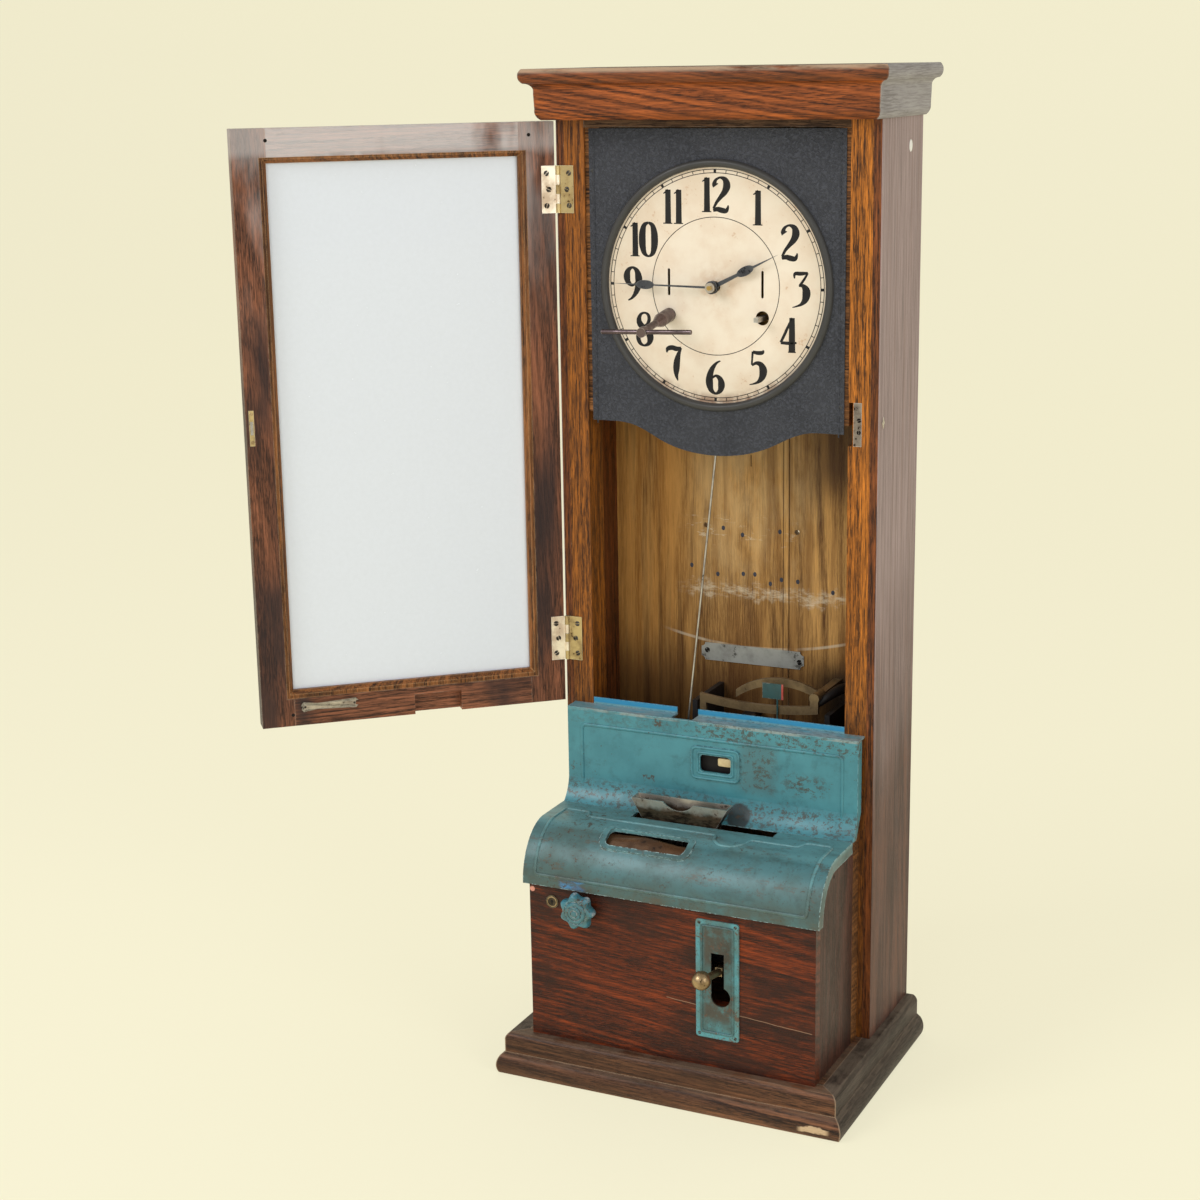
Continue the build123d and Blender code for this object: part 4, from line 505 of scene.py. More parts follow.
def back_marks(w, paint, roughness):
    """Marks of the back: pale rubbed middle, dark right edge and foot, the arc that a weight scuffed, painted light
    on the left part, a painted shadow at the upper right and painted shade at the lower right.
    """
    x, y, z = w.split()
    dark = (62, 36, 18)
    raw = w.mix(0.35, paint, (120, 96, 70))
    pale = x.fade(-0.085, -0.045) * x.fade(0.075, 0.045) * z.fade(0.4, 0.5)
    clouds = w.noise(22.0, 4.0, 0.65, (1.0, 1.0, 0.5)).fade(0.36, 0.62)
    broad = w.noise(60.0, 3.0, 0.6, (1.0, 1.0, 0.05))
    swing = w.root(square_sum(x + 0.005, z - 0.761))
    line = (swing.band(0.371, 0.0006, 0.0014) * w.noise(40.0, 3.0).fade(0.3, 0.5) * x.fade(-0.105, -0.08)
            * x.fade(0.105, 0.08) * z.fade(0.5, 0.48))
    waved = w.noise(26.0, 1.0, by=(1.0, 0.0, 0.0)) * 0.016 + z
    worn = w.noise(120.0, 6.0, 0.8, (0.45, 1.0, 1.4))
    thick = w.noise(75.0, 3.0, 0.7, (1.0, 0.0, 0.0), (0.3, 0.0, 0.0)).fade(0.35, 0.7, 0.0015, 0.0085)
    wide = (abs(waved - 0.4555) - thick).fade(0.0, 0.006, 1.0, 0.0) * worn.fade(0.4, 0.66)
    flecks = z.band(0.509, 0.006, 0.014) * worn.fade(0.56, 0.64) * x.fade(0.06, 0.03)
    rubs = (wide | flecks * 0.8) * x.fade(-0.09, -0.06) * x.fade(0.105, 0.085)
    scuff = line * 0.8 | rubs
    cuts = straight_mark(x, z, (-0.0057, 0.586), (-0.0057, 0.575), 0.0005, 0.0004) | x.band(0.0285, 0.0003, 0.0005)
    # Painted shadow at the upper right of the back.
    shadow = x.fade(0.04, 0.08) * z.fade(0.53, 0.58)
    # Painted shade, nearly black, behind the linkage at the lower right.
    painted_shade_behind_linkage = x.fade(0.045, 0.085) * z.fade(0.395, 0.36)
    paint = w.layers(paint, (pale * clouds * 0.6, (214, 178, 124)),
                     (broad.fade(0.46, 0.64, 0.0, 0.55), (112, 70, 28)),
                     # Painted light: the left part is painted lighter against the shade that falls on it.
                     (x.fade(-0.06, -0.1, 0.0, 0.45) * broad.fade(0.6, 0.46), (206, 142, 66)),
                     (x.fade(0.092, 0.122, 0.0, 0.7), dark), (z.fade(0.41, 0.34, 0.0, 0.65), dark),
                     (scuff * 0.7, (226, 212, 186)), (cuts * 0.8, dark), (shadow * 0.8, dark),
                     (painted_shade_behind_linkage * 0.9, (16, 11, 8)))
    inside = y.fade(0.1068, 0.1061)
    return w.mix(inside, raw, paint), w.mix(scuff * inside, roughness, (0.8, 0.8, 0.8))


def crown_marks(w, paint, roughness):
    """Marks of the crown: its roll darker and its top edge rubbed pale."""
    z = w.split()[2]
    top = z.fade(0.9535, 0.9572) * w.noise(60.0, 4.0, 0.7, (0.3, 1.0, 1.0)).fade(0.34, 0.6)
    return w.layers(paint, (z.fade(0.944, 0.947) * 0.45, (74, 48, 34)), (top * 0.85, (190, 162, 134))), roughness


def dust_on_top(pale, share, w, paint, roughness):
    """Marks of a foot moulding: dust on every face that looks up, and a chip near the front right corner."""
    settled = w.split(w.normal())[2].fade(0.55, 0.98) * w.noise(45.0, 5.0, 0.7).fade(0.3, 0.62)
    x, y, z = w.split()
    bent = w.noise(120.0, 4.0, by=(0.5, 1.0, 1.0)) * 0.01 + z
    chip = x.band(0.152, 0.011, 0.006) * bent.band(0.0125, 0.0016, 0.0014) * y.fade(-0.13, -0.132)
    paint = w.layers(paint, (chip, (206, 176, 140)), (settled * share, pale))
    return paint, w.mix(settled, roughness, (0.7, 0.7, 0.7))


def door_marks(grey, w, paint, roughness):
    """Marks of the door: a grey painted reflection on its upper part and rail, and dark burns lower down."""
    z = w.split()[2]
    cloud = w.noise(16.0, 4.0, 0.6, (1.0, 1.0, 0.35))
    # The grey on the upper part and on the rail is a painted reflection.
    high = z.fade(0.7, 0.9) * cloud.fade(0.34, 0.6)
    rail = z.fade(0.876, 0.892) * cloud.fade(0.2, 0.46)
    burn = w.noise(13.0, 3.0, by=(1.0, 1.0, 0.25), move=(0.0, 0.0, 0.7)).fade(0.5, 0.62)
    burn = burn * z.fade(0.87, 0.84, 0.0, 0.85)
    return w.layers(paint, ((high | rail) * 0.62, grey), (burn, (42, 32, 34))), roughness


def hood_paint(dull, w, paint):
    """Marks of the hood: a dirtier lip, painted shade on its right end, a painted highlight on its flat top, a blue
    smear near the left, and brown streaks and grit.
    """
    x, _, z = w.split()
    lip = z.fade(0.222, 0.204) * w.noise(50.0, 4.0, 0.65).fade(0.3, 0.62)
    # Painted shade on the faces that look to the right: the hood's right end.
    end = w.split(w.normal())[0].fade(0.6, 0.95, 0.0, 0.45)
    smear = (x.band(-0.098, 0.01, 0.006) * z.band(0.203, 0.003, 0.003)
             * w.noise(130.0, 4.0, by=(0.5, 1.0, 1.4)).fade(0.38, 0.58))
    streak = w.noise(34.0, 5.0, 0.7, (0.35, 1.0, 1.0)).fade(0.5, 0.7)
    grit = w.noise(260.0, 5.0, 0.8).fade(0.56, 0.64)
    brown = w.noise(55.0, 6.0, 0.85, (0.5, 1.0, 1.0), (0.4, 0.0, 0.2)).fade(0.55, 0.64)
    return w.layers(paint, (z.fade(0.238, 0.208, 0.0, 0.42), (58, 78, 74)), (lip * 0.7, (70, 78, 68)),
                    # The lighter teal on the flat top is a painted highlight.
                    (end, (44, 74, 76)), (z.fade(0.2475, 0.251, 0.0, 0.45), (110, 166, 172)),
                    (smear * 0.75, (66, 140, 196)), (streak * 0.65, dimmed(dull, 0.55)),
                    (grit * 0.55, (58, 62, 52)), (brown * 0.6, (84, 70, 54)))


def cover_paint(iron, w, paint):
    """Marks of the upper cover: bright blue flange, a worn line under it, rust to the right, and a dark disc of
    painted shadow beside the card receiver.
    """
    x, _, z = w.split()
    worn_line = z.band(0.3458, 0.001, 0.001) * w.noise(90.0, 4.0, by=(0.4, 1.0, 1.0)).fade(0.38, 0.56)
    spots = w.noise(210.0, 6.0, 0.8, (0.75, 1.0, 1.0)).fade(0.5, 0.57)
    beside = x.band(0.05, 0.01, 0.016) * z.band(0.308, 0.018, 0.014)
    right = x.band(0.098, 0.01, 0.02) * z.band(0.296, 0.004, 0.012)
    high = z.band(0.338, 0.004, 0.01) * x.fade(-0.05, 0.01, 0.35, 1.0)
    rust = (beside | right | z.band(0.262, 0.005, 0.012) | high) * spots | beside * 0.42
    # A dark disc of painted shadow beside the card receiver.
    from_painted_shadow = square_sum(x - 0.0335, z - 0.2588)
    return w.layers(paint, (z.fade(0.3462, 0.3468) * 0.85, (106, 160, 174)), (z.fade(0.3484, 0.3492), iron.bright),
                    (worn_line * 0.5, iron.iron), (rust * 0.85, (62, 58, 48)),
                    (from_painted_shadow.fade(0.00016, 0.0001, 0.0, 0.9), (34, 40, 42)))


def receiver_wear(w, paint):
    """Marks of the card receiver: a lip worn bright and a browned throat."""
    wave = w.noise(90.0, 3.0) * 0.01 + w.split()[2]
    brown = w.mix(w.noise(160.0, 4.0, 0.7, (0.4, 1.0, 1.0)).fade(0.4, 0.62), (112, 92, 74), (52, 40, 32))
    return w.mix(wave.fade(0.2675, 0.2725), brown, paint)


def plate_wear(w, paint):
    """Marks of the slot plate: brown above the slot and round its foot, where fingers rub."""
    x, _, z = w.split()
    soft = w.noise(90.0, 5.0, 0.7)
    inside = x.band(0.04975, 0.0162, 0.002) * z.band(0.13025, 0.0535, 0.002) * soft.fade(0.3, 0.6, 0.35, 0.75)
    middle = x.band(0.05, 0.011, 0.005)
    gone = middle * (z.band(0.164, 0.014, 0.01) | z.band(0.1, 0.005, 0.012)) * soft.fade(0.34, 0.56)
    chips = w.noise(330.0, 5.0, 0.8, move=(0.2, 0.1, 0.4)).fade(0.55, 0.61)
    return w.layers(paint, (inside, (50, 70, 66)), (middle * z.fade(0.09, 0.12) * 0.4, (58, 74, 70)),
                    (gone * 0.9, (66, 60, 50)), (chips * 0.6, (50, 52, 46)))


def box_marks(w, paint, roughness):
    """Marks of the box front: a pale hairline, soft dark patches and a pink spot near the top left corner."""
    x, _, z = w.split()
    clouds = w.noise(20.0, 5.0, 0.7, (0.45, 1.0, 1.0)).fade(0.44, 0.62, 0.0, 0.78)
    bent = w.noise(60.0) * 0.0016 + z
    hairline = straight_mark(x, bent, (-0.0026, 0.1047), (0.1431, 0.0934), 0.00018, 0.00035)
    from_spot = square_sum(x + 0.1435, z - 0.1914)
    return w.layers(paint, (clouds, (40, 20, 14)), (hairline * 0.6, (176, 140, 112)),
                    (from_spot.fade(0.00001, 0.000004), (222, 152, 132))), roughness


def knob_rubs(w, paint):
    """Marks of the star knob: bare bright metal on the rim of the scallops at the upper right."""
    x, _, z = w.split(w.stretch(w.place, move=(0.0895, 0.0, -0.181)))
    away = w.root(square_sum(x, z))
    rubbed = (away.fade(0.0164, 0.0182) * (x * 0.75 + z).fade(0.004, 0.012)
              * w.noise(240.0, 4.0, 0.7).fade(0.36, 0.58))
    return w.layers(paint, (away.fade(0.0136, 0.0156, 0.0, 0.4), (48, 128, 152)), (rubbed * 0.8, (186, 188, 190)))


def tag_paint(w, paint):
    """Marks of the small tag: its right edge is red."""
    return w.mix(w.split()[0].fade(0.054, 0.0546), paint, (176, 58, 48))


def make_woods(wood):
    """The kinds of oak, from the stiles to the glazing beads."""
    oak(wood, "stile oak", wood.stile, pith=(0.03, 0.05, 0.1), lean=0.012, dark=0.35, worn=(196, 150, 96), wear=0.3,
        dirt=0.65, shaped=stile_marks)
    oak(wood, "side oak", (120, 66, 30), pith=(0.0, -0.03, 0.0), lean=0.012, worn=(170, 140, 112), wear=0.35,
        shaped=partial(faded_side, wood))
    oak(wood, "crown oak", wood.crown, "across", pith=(-0.958, 0.05, 0.16), ring_share=1.1, lean=0.16, dark=0.55,
        worn=wood.worn, wear=0.5, dirt=0.8, shaped=crown_marks)
    # The grey of the crown's returns stands for a painted reflection on their faces.
    oak(wood, "crown grey", (160, 155, 156), "back", (128, 122, 122), (0.1, 0.93, 0.0), lean=0.02, dark=0.3,
        worn=(206, 204, 202), dirt=0.18, rough=0.6, coat=0.05, pores=0.2, glow=1.1)
    oak(wood, "top oak", (104, 76, 54), "across", pith=(-0.9, 0.02, 0.3), lean=0.04, worn=wood.worn, rough=0.6,
        coat=0.05)
    oak(wood, "box oak", wood.box, "across", pith=(-0.13, 0.155, 0.0), ring_share=1.5, lean=0.13, dark=0.5,
        wander=0.035, worn=(142, 84, 50), wear=0.3, rough=0.36, coat=0.12, shaped=box_marks, glow=2.0)
    oak(wood, "box side oak", (76, 43, 34), pith=(0.1, 0.0, 0.0), worn=(140, 104, 80), wear=0.4, dirt=0.6)
    # The plinth's pale rubbed edges are wear and partly painted highlights along its mouldings.
    oak(wood, "plinth oak", wood.plinth, "across", pith=(-0.03, 0.16, 0.0), dark=0.6, worn=(176, 150, 122), wear=0.7,
        dirt=0.85, coat=0.15, shaped=partial(dust_on_top, (118, 100, 84), 0.6))
    oak(wood, "plinth side oak", (70, 57, 50), "back", pith=(0.1, 0.03, 0.0), worn=(146, 128, 112), wear=0.5,
        dirt=0.7, rough=0.55, shaped=partial(dust_on_top, (120, 106, 92), 0.7))
    oak(wood, "inner oak", (126, 82, 44), "across", pith=(0.0, 0.02, 0.0), lean=0.05, rough=0.6, coat=0.0)
    oak(wood, "back oak", wood.back, vein=(92, 56, 24), pith=(0.03, -0.04, 0.0), ring_share=2.2, lean=0.02,
        dark=0.65, dirt=0.25, rough=0.58, coat=0.1, shaped=back_marks, pores=0.22, glow=1.25)
    # The greys given to the door's marks below are painted reflections.
    oak(wood, "door oak", wood.door, pith=(0.42, 0.16, 0.0), ring_share=1.7, lean=0.07, dark=0.55,
        worn=(170, 142, 122), dirt=0.6, coat=0.1, wander=0.02, shaped=partial(door_marks, (190, 184, 184)))
    oak(wood, "door rail oak", wood.door, "door", pith=(-0.36, 0.05, 0.1), dark=0.45, worn=(170, 142, 122),
        coat=0.12, shaped=partial(door_marks, (232, 228, 230)))
    oak(wood, "bead oak", wood.bead, pith=(0.4, 0.1, 0.0), lean=0.01, dark=0.5, worn=(206, 160, 110), wear=0.6,
        dirt=0.7, rough=0.4, coat=0.1)


def make_paints(iron, dial):
    """The enamels and the black paints, and the ink."""
    cover, hood = partial(cover_paint, iron), partial(hood_paint, iron.dull)
    enamel(iron, "cover enamel", cover, iron.teal, dimmed(iron.teal, 0.82), (140, 180, 186), 0.34, 0.25,
           edge_reach=0.7)
    # The hood's pale rubbed edges are wear and partly painted highlights on its pressed lines.
    enamel(iron, "hood enamel", hood, (73, 122, 128), iron.dull, (172, 204, 206), 0.42, 0.22, 0.38, 15.0, 0.8, 0.8)
    # A lighter enamel on the pressed lines: a painted highlight.
    enamel(iron, "bead painted highlight enamel", hood, (96, 152, 158), iron.dull, (190, 212, 212), 0.34, 0.25, 0.34, 15.0, 0.8, 0.8)
    enamel(iron, "knob enamel", knob_rubs, (58, 120, 134), (66, 100, 98), (190, 190, 186), 0.5, 0.4, 0.3, 60.0, 0.72,
           0.85)
    enamel(iron, "plate enamel", plate_wear, (78, 150, 160), (86, 120, 116), (52, 48, 42), 0.52, 0.3, 0.34, 34.0,
           0.7, rust=(92, 66, 48))
    enamel(iron, "tag enamel", tag_paint, (16, 74, 78), (30, 72, 72), iron.iron, 0.3, blotch=80.0)
    black_paint("crinkled black", iron.black, (150, 146, 140), crinkle=True)
    black_paint("plain black", (40, 39, 40), (120, 112, 102), 0.4)
    black_paint("bezel black", (66, 65, 64), (130, 126, 120), 0.34)
    black_paint("printed ink", dial.ink, (60, 54, 48), 0.55)
    black_paint("dark hole", (22, 16, 12), (44, 34, 26), 0.8)
    black_paint("blue dark hole", (62, 64, 76), (110, 112, 120), 0.6)
    black_paint("sooty iron", (24, 21, 20), (70, 62, 54))


def make_metals(small):
    """The metals, and two small parts of ivory and white."""
    metal("hand steel", (92, 94, 98), (52, 52, 56), 0.36, 0.4, (150, 150, 152))
    metal("dark steel", (84, 80, 76), (46, 38, 30), 0.42, 0.6, (140, 134, 126))
    metal("worn steel", (150, 140, 130), (66, 50, 38), 0.42, 0.6, (226, 222, 216), fine=150.0)
    metal("receiver steel", (206, 200, 190), (120, 104, 88), 0.4, 0.45, (236, 232, 226), shaped=receiver_wear)
    metal("key steel", (110, 96, 98), (64, 54, 54), 0.26, 0.2, (190, 186, 188))
    # The near-white colour of the door's hinge leaves stands for a painted highlight.
    metal("pale brass", (250, 238, 218), (176, 140, 104), 0.4, 0.32, (255, 250, 240), fine=170.0)
    metal("bright steel", small.steel, (120, 110, 98), 0.28, 0.3, (232, 230, 226))
    metal("aged brass", small.brass, (112, 82, 46), 0.36, 0.48, (244, 232, 196))
    metal("dark brass", (180, 154, 116), (98, 78, 52), 0.34, 0.5, (216, 196, 158))
    metal("window strip", (112, 82, 58), (62, 42, 28), 0.2, 0.45, (190, 170, 140), 0.45, 90.0)
    metal("lock steel", (92, 84, 72), (44, 38, 32), 0.34, 0.4, (190, 178, 150))
    metal("clock brass", (196, 162, 96), (120, 92, 50), 0.3, 0.35, (230, 206, 150))
    metal("worn nickel", (196, 186, 172), (120, 104, 88), 0.34, 0.45, (226, 220, 208))
    metal("linkage steel", (140, 118, 84), (62, 48, 32), 0.46, 0.25, (150, 134, 106), 0.6)
    metal("galvanised", (176, 178, 174), (128, 126, 118), 0.42, 0.4, (206, 206, 202), 0.5, 120.0)
    metal("old ivory", (226, 206, 158), (176, 146, 96), 0.4, 0.3, metallic=0.0)
    metal("white plug", (236, 234, 230), (190, 184, 176), 0.4, 0.2, metallic=0.0)


SOLIDS_IN = {
    "stile oak": "front_stiles", "side oak": "case_sides", "crown oak": "crown_front", "crown grey": "crown_returns",
    "top oak": "top_boards", "box oak": "box_front", "box side oak": "box_sides",
    "plinth oak": "plinth_front base_boards", "plinth side oak": "plinth_returns", "inner oak": "battens",
    "back oak": "back_boards", "door oak": "door_stiles", "door rail oak": "door_rails", "bead oak": "glass_beads",
    "cover enamel": "apron", "hood enamel": "hood", "knob enamel": "star_knob", "plate enamel": "slot_plate",
    "tag enamel": "indicator_tag", "crinkled black": "dial_plate", "bezel black": "bezel_ring",
    "plain black": "movement_bracket rear_bracket recorder_frame", "hand steel": "hour_hand minute_hand",
    "worn nickel": "hand_nut",
    "dark steel": "feed_arm hammer receiver_carriage selector_idler selector_spindle print_wheels rear_wheels "
                  "escape_wheel cannon_pinion verge",
    "worn steel": "strike_plate", "receiver steel": "card_receiver", "key steel": "winding_key",
    "pale brass": "hinge_door_leaves", "bright steel": "drive_rod door_bolt winding_arbor_left winding_arbor_right",
    "galvanised": "beat_plate", "linkage steel": "linkage_arms", "aged brass": "hinge_case_leaves door_lock",
    "dark brass": "lever_ball punch_lever", "lock steel": "hood_lock",
    "clock brass": "centre_wheel third_wheel minute_wheel hour_wheel movement_frames",
    "dial paper": "dial", "old glass": "glass_pane",
}


def dress():
    """Gives every carried-over solid its finish."""
    chosen = {node: finish for finish, names in SOLIDS_IN.items() for node in names.split()}
    missing = sorted(set(nodes) - set(chosen))
    if missing:
        raise RuntimeError(f"no finish is named for {missing}")
    for node, finish in chosen.items():
        solid, material = nodes[node], bpy.data.materials[finish]
        if not solid.material_slots:
            solid.data.materials.append(material)
        for held in solid.material_slots:
            held.material = material


def made(name, points, faces, finish, smooth=True):
    """A new object at the origin, in one finish."""
    mesh = bpy.data.meshes.new(name)
    mesh.from_pydata(points.tolist(), [], faces)
    mesh.polygons.foreach_set("use_smooth", np.full(len(faces), smooth))
    mesh.update()
    mesh.validate()
    mesh.materials.append(bpy.data.materials[finish])
    piece = bpy.data.objects.new(name, mesh)
    bpy.context.scene.collection.objects.link(piece)
    return piece


def finished(name, patches, finish, body, smooth=True):
    """One piece from several patches, each (points, faces), set to ride on a body."""
    faces, start = [], 0
    for some_points, some_faces in patches:
        faces += [[start + corner for corner in face] for face in some_faces]
        start += len(some_points)
    piece = made(name, np.concatenate([some_points for some_points, _ in patches]), faces, finish, smooth)
    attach(piece, body)
    return piece


def grid(points, round_rows=False, round_columns=False, caps=False):
    """Quads between neighbouring rows and columns of a grid of points, with flat caps where asked."""
    rows, columns = points.shape[:2]
    index = np.arange(rows * columns).reshape(rows, columns)
    first, last = index[0][::-1].tolist(), index[-1].tolist()
    if round_rows:
        index = np.concatenate([index, index[:1]])
    if round_columns:
        index = np.concatenate([index, index[:, :1]], axis=1)
    quads = np.stack([index[:-1, :-1], index[:-1, 1:], index[1:, 1:], index[1:, :-1]], axis=-1)
    return points.reshape(-1, 3), quads.reshape(-1, 4).tolist() + ([first, last] if caps else [])


def tube(points):
    """A grid that is closed round its rows and capped at both ends."""
    return grid(points, round_columns=True, caps=True)


def unit(vectors):
    """Vectors scaled to length one."""
    return vectors / np.maximum(np.linalg.norm(vectors, axis=-1, keepdims=True), 1e-12)


def turns(count):
    """Angles that go once round in equal steps."""
    return np.arange(count) * (math.tau / count)


def circle(count, radius):
    """Points across and up on a circle, from its cosine and sine."""
    return np.stack([np.cos(turns(count)), np.sin(turns(count))], axis=1) * radius


def ridge(path, normals, half_width, height, closed, sides=10):
    """A rounded line along a path: at each point an ellipse in the plane of the surface normal and the
    direction across, half_width wide each side and height tall, its lower half sunk in the surface."""
    normals = np.broadcast_to(normals, path.shape)
    along = np.roll(path, -1, axis=0) - np.roll(path, 1, axis=0) if closed else np.gradient(path, axis=0)
    across = unit(np.cross(normals, unit(along)))
    angle = turns(sides)
    wide = np.broadcast_to(half_width, (len(path),))[:, None, None]
    points = (path[:, None, :] + across[:, None, :] * np.cos(angle)[None, :, None] * wide
              + normals[:, None, :] * (np.sin(angle) * height)[None, :, None])
    return grid(points, closed, True, not closed)


def front_ridge(flat, y, half_width, height, closed=False, sides=10):
    """A ridge on a face that looks to the front, along points across and up."""
    path = np.stack([flat[:, 0], np.full(len(flat), y), flat[:, 1]], axis=1)
    return ridge(path, FRONT, half_width, height, closed, sides)


def rounded(corners, reach, closed=True):
    """Straight runs between corners, resampled every step and softened by a running mean as long as reach."""
    step = 0.0015
    corners = np.asarray(corners, float)
    if closed:
        corners = np.concatenate([corners, corners[:1]])
    reached = np.concatenate([[0.0], np.cumsum(np.linalg.norm(np.diff(corners, axis=0), axis=1))])
    count = max(8, int(round(reached[-1] / step)))
    wanted = np.linspace(0.0, reached[-1], count, endpoint=not closed)
    path = np.stack([np.interp(wanted, reached, column) for column in corners.T], axis=1)
    span = max(1, int(round(reach / step)) // 2)
    if closed:
        padded = np.concatenate([path[-span:], path, path[:span]])
    else:
        padded = np.concatenate([2 * path[:1] - path[span:0:-1], path, 2 * path[-1:] - path[-2:-span - 2:-1]])
    window = np.ones(2 * span + 1) / (2 * span + 1)
    return np.stack([np.convolve(column, window, mode="valid") for column in padded.T], axis=1)


def smoothed(points, steps=7):
    """Points of a curve through all the given ones: between two neighbours a cubic whose slopes are half the
    difference of the points on either side."""
    points = np.asarray(points, float)
    held = np.concatenate([2 * points[:1] - points[1:2], points, 2 * points[-1:] - points[-2:-1]])[:, None, :]
    a, b, c, d = held[:-3], held[1:-2], held[2:-1], held[3:]
    t = (np.arange(steps) / steps)[None, :, None]
    curve = 0.5 * (2 * b + (c - a) * t + (2 * a - 5 * b + 4 * c - d) * t ** 2 + (3 * b - a - 3 * c + d) * t ** 3)
    return np.concatenate([curve.reshape(-1, points.shape[1]), points[-1:]])


def button(centre, normal, radius, rise, slot_turn=None, slot_half=0.00035, rings=7, spokes=28, squeeze=(1.0, 1.0)):
    """A domed head: height is rise times the root of one less the squared share of the radius, and points nearer
    than slot_half to a line across it are pressed down. squeeze makes it oval."""
    slot_deep, skirt_deep = 0.0006, 0.0004
    right = unit(np.cross(UP, normal))
    up = np.cross(normal, right)
    crown_turn, rim_share = 0.02, 0.999
    share = np.sin(np.linspace(0.5 * math.pi, crown_turn, rings))[:, None]
    turn = turns(spokes)
    flat_x, flat_y = share * np.cos(turn) * radius, share * np.sin(turn) * radius
    height = rise * np.sqrt(np.maximum(1.0 - share ** 2, 0.0)) + 0.0 * turn
    if slot_turn is not None:
        away = np.abs(flat_x * math.sin(slot_turn) - flat_y * math.cos(slot_turn))
        height = np.where(away < slot_half, height - slot_deep * (share < rim_share), height)
    points = (np.asarray(centre, float) + right * (flat_x * squeeze[0])[..., None]
              + up * (flat_y * squeeze[1])[..., None] + normal * height[..., None])
    return tube(np.concatenate([points[:1] - normal * skirt_deep, points]))


def dot(centre, normal, radius, squeeze=(1.0, 1.0), spokes=16):
    """A nearly flat button that stands for a hole or a peg."""
    return button(centre, normal, radius, 0.0002, rings=4, spokes=spokes, squeeze=squeeze)


def plate(outline, right, out, centre, thick):
    """A flat plate: its outline is carried from the back to the front, drawn in by a bevel at the front edge."""
    bevel = 0.0003
    outline = np.asarray(outline, float)
    inward = unit(outline.mean(axis=0) - outline)
    rows = [(outline, 0.0), (outline, thick - bevel), (outline + inward * bevel * 0.4, thick - bevel * 0.3),
            (outline + inward * bevel, thick)]
    return tube(np.stack([np.asarray(centre, float) + flat[:, :1] * right + flat[:, 1:] * UP + out * level
                          for flat, level in rows]))


# Each number is drawn with strokes: points (across, up, half the stroke's width) in hundredths of its height.
STROKES = {
    "0": [[(0, 98.5, 2.2), (-11.5, 90, 5), (-16.5, 70, 7.2), (-17.5, 50, 7.8), (-16.5, 30, 7.2), (-11.5, 10, 5),
           (0, 1.5, 2.2), (11.5, 10, 5), (16.5, 30, 7.2), (17.5, 50, 7.8), (16.5, 70, 7.2), (11.5, 90, 5),
           (0, 98.5, 2.2)]],
    "1": [[(1, 3, 6.6), (1, 50, 6.2), (1, 97, 6)],
          [(-12, 86, 1), (-6, 90, 1.8), (1, 97, 2.4)],
          [(-13, 1.2, 1), (1, 2, 1.6), (13, 1.2, 1)]],
    "2": [[(-13, 74, 7), (-16, 80, 5.2), (-12, 91, 3), (0, 97.5, 2.4), (13, 91, 5.8), (17.5, 75, 8), (12, 58, 6.6),
           (0, 42, 4.4), (-11, 27, 3.2), (-19, 10, 2.6)],
          [(-20, 5, 3), (-8, 8.5, 4.8), (4, 5.5, 5.6), (15, 4.5, 4.8), (20, 12, 3), (21.5, 20, 1.4)]],
    "3": [[(-17, 80, 1.4), (-15.5, 93, 3.4), (0, 94, 4), (19, 96, 2.4)],
          [(19, 96, 2), (8, 76, 2.6), (-3, 60, 2.4)],
          [(-5, 60, 2.2), (5, 60, 4), (13.5, 50, 7.6), (15.5, 36, 8.6), (11.5, 20, 6.6), (2, 8, 3.4), (-10, 2, 1.8),
           (-22, -2, 1)]],
    "4": [[(9, 99, 2), (-2, 74, 2.8), (-13, 48, 3), (-22, 28, 2.6)],
          [(-22, 27.5, 3), (0, 26.5, 3.4), (21, 28.5, 2)],
          [(8.5, 99, 5.8), (8.5, 50, 6.6), (8.5, 2, 7.2)],
          [(-2, 1.2, 1.2), (8.5, 2, 1.8), (19, 1.2, 1.2)]],
    "5": [[(17, 99, 1.6), (13, 92, 4), (0, 90.5, 4), (-13, 93, 3)],
          [(-13, 94, 2.6), (-14.5, 75, 2.2), (-15.5, 55, 2)],
          [(-15, 54, 2), (-4, 61, 3.4), (8, 58, 5.6), (15, 45, 8.2), (15.5, 32, 8.2), (11, 18, 6.2), (2, 7, 3.4),
           (-10, 1, 1.8), (-22, -2, 1)]],
    "6": [[(13.5, 97.5, 1.4), (2, 90, 2.8), (-10, 72, 5.4), (-16.5, 50, 7.4), (-17, 30, 8), (-12, 11, 5.4),
           (0, 1.8, 2.6), (12, 10, 5.2), (16.5, 27, 7.6), (13, 44, 5.8), (2, 53.5, 3), (-9, 47, 2.2),
           (-14.5, 36, 1.8)]],
    "7": [[(-21, 80, 1.4), (-18, 91, 4.4), (-6, 95, 5), (7, 92, 5), (20, 95, 2.6)],
          [(20, 95, 2), (13, 78, 4.4), (8, 56, 7), (6, 34, 7.2), (6, 15, 4.4), (10, -1, 1.2)]],
    "8": [[(0, 54, 6), (-11, 64, 6.6), (-14.5, 78, 5.4), (-9, 93, 3.2), (2, 97.8, 2.2), (12, 92, 3.4), (14.5, 78, 4),
           (9, 64, 3.6), (0, 54, 5), (-12, 42, 4), (-17, 26, 5.2), (-12, 9, 4.2), (0, 2, 2.4), (13, 9, 4.8),
           (17.5, 26, 7.6), (11, 44, 7.4), (0, 54, 6)]],
}
# The 9 is the 6 turned half round.
STROKES["9"] = [[(-across, 100 - up, wide) for across, up, wide in stroke] for stroke in STROKES["6"]]
NUMBER_WIDTHS = {"0": 0.47, "1": 0.3, "4": 0.48}
USUAL_WIDTH = 0.46


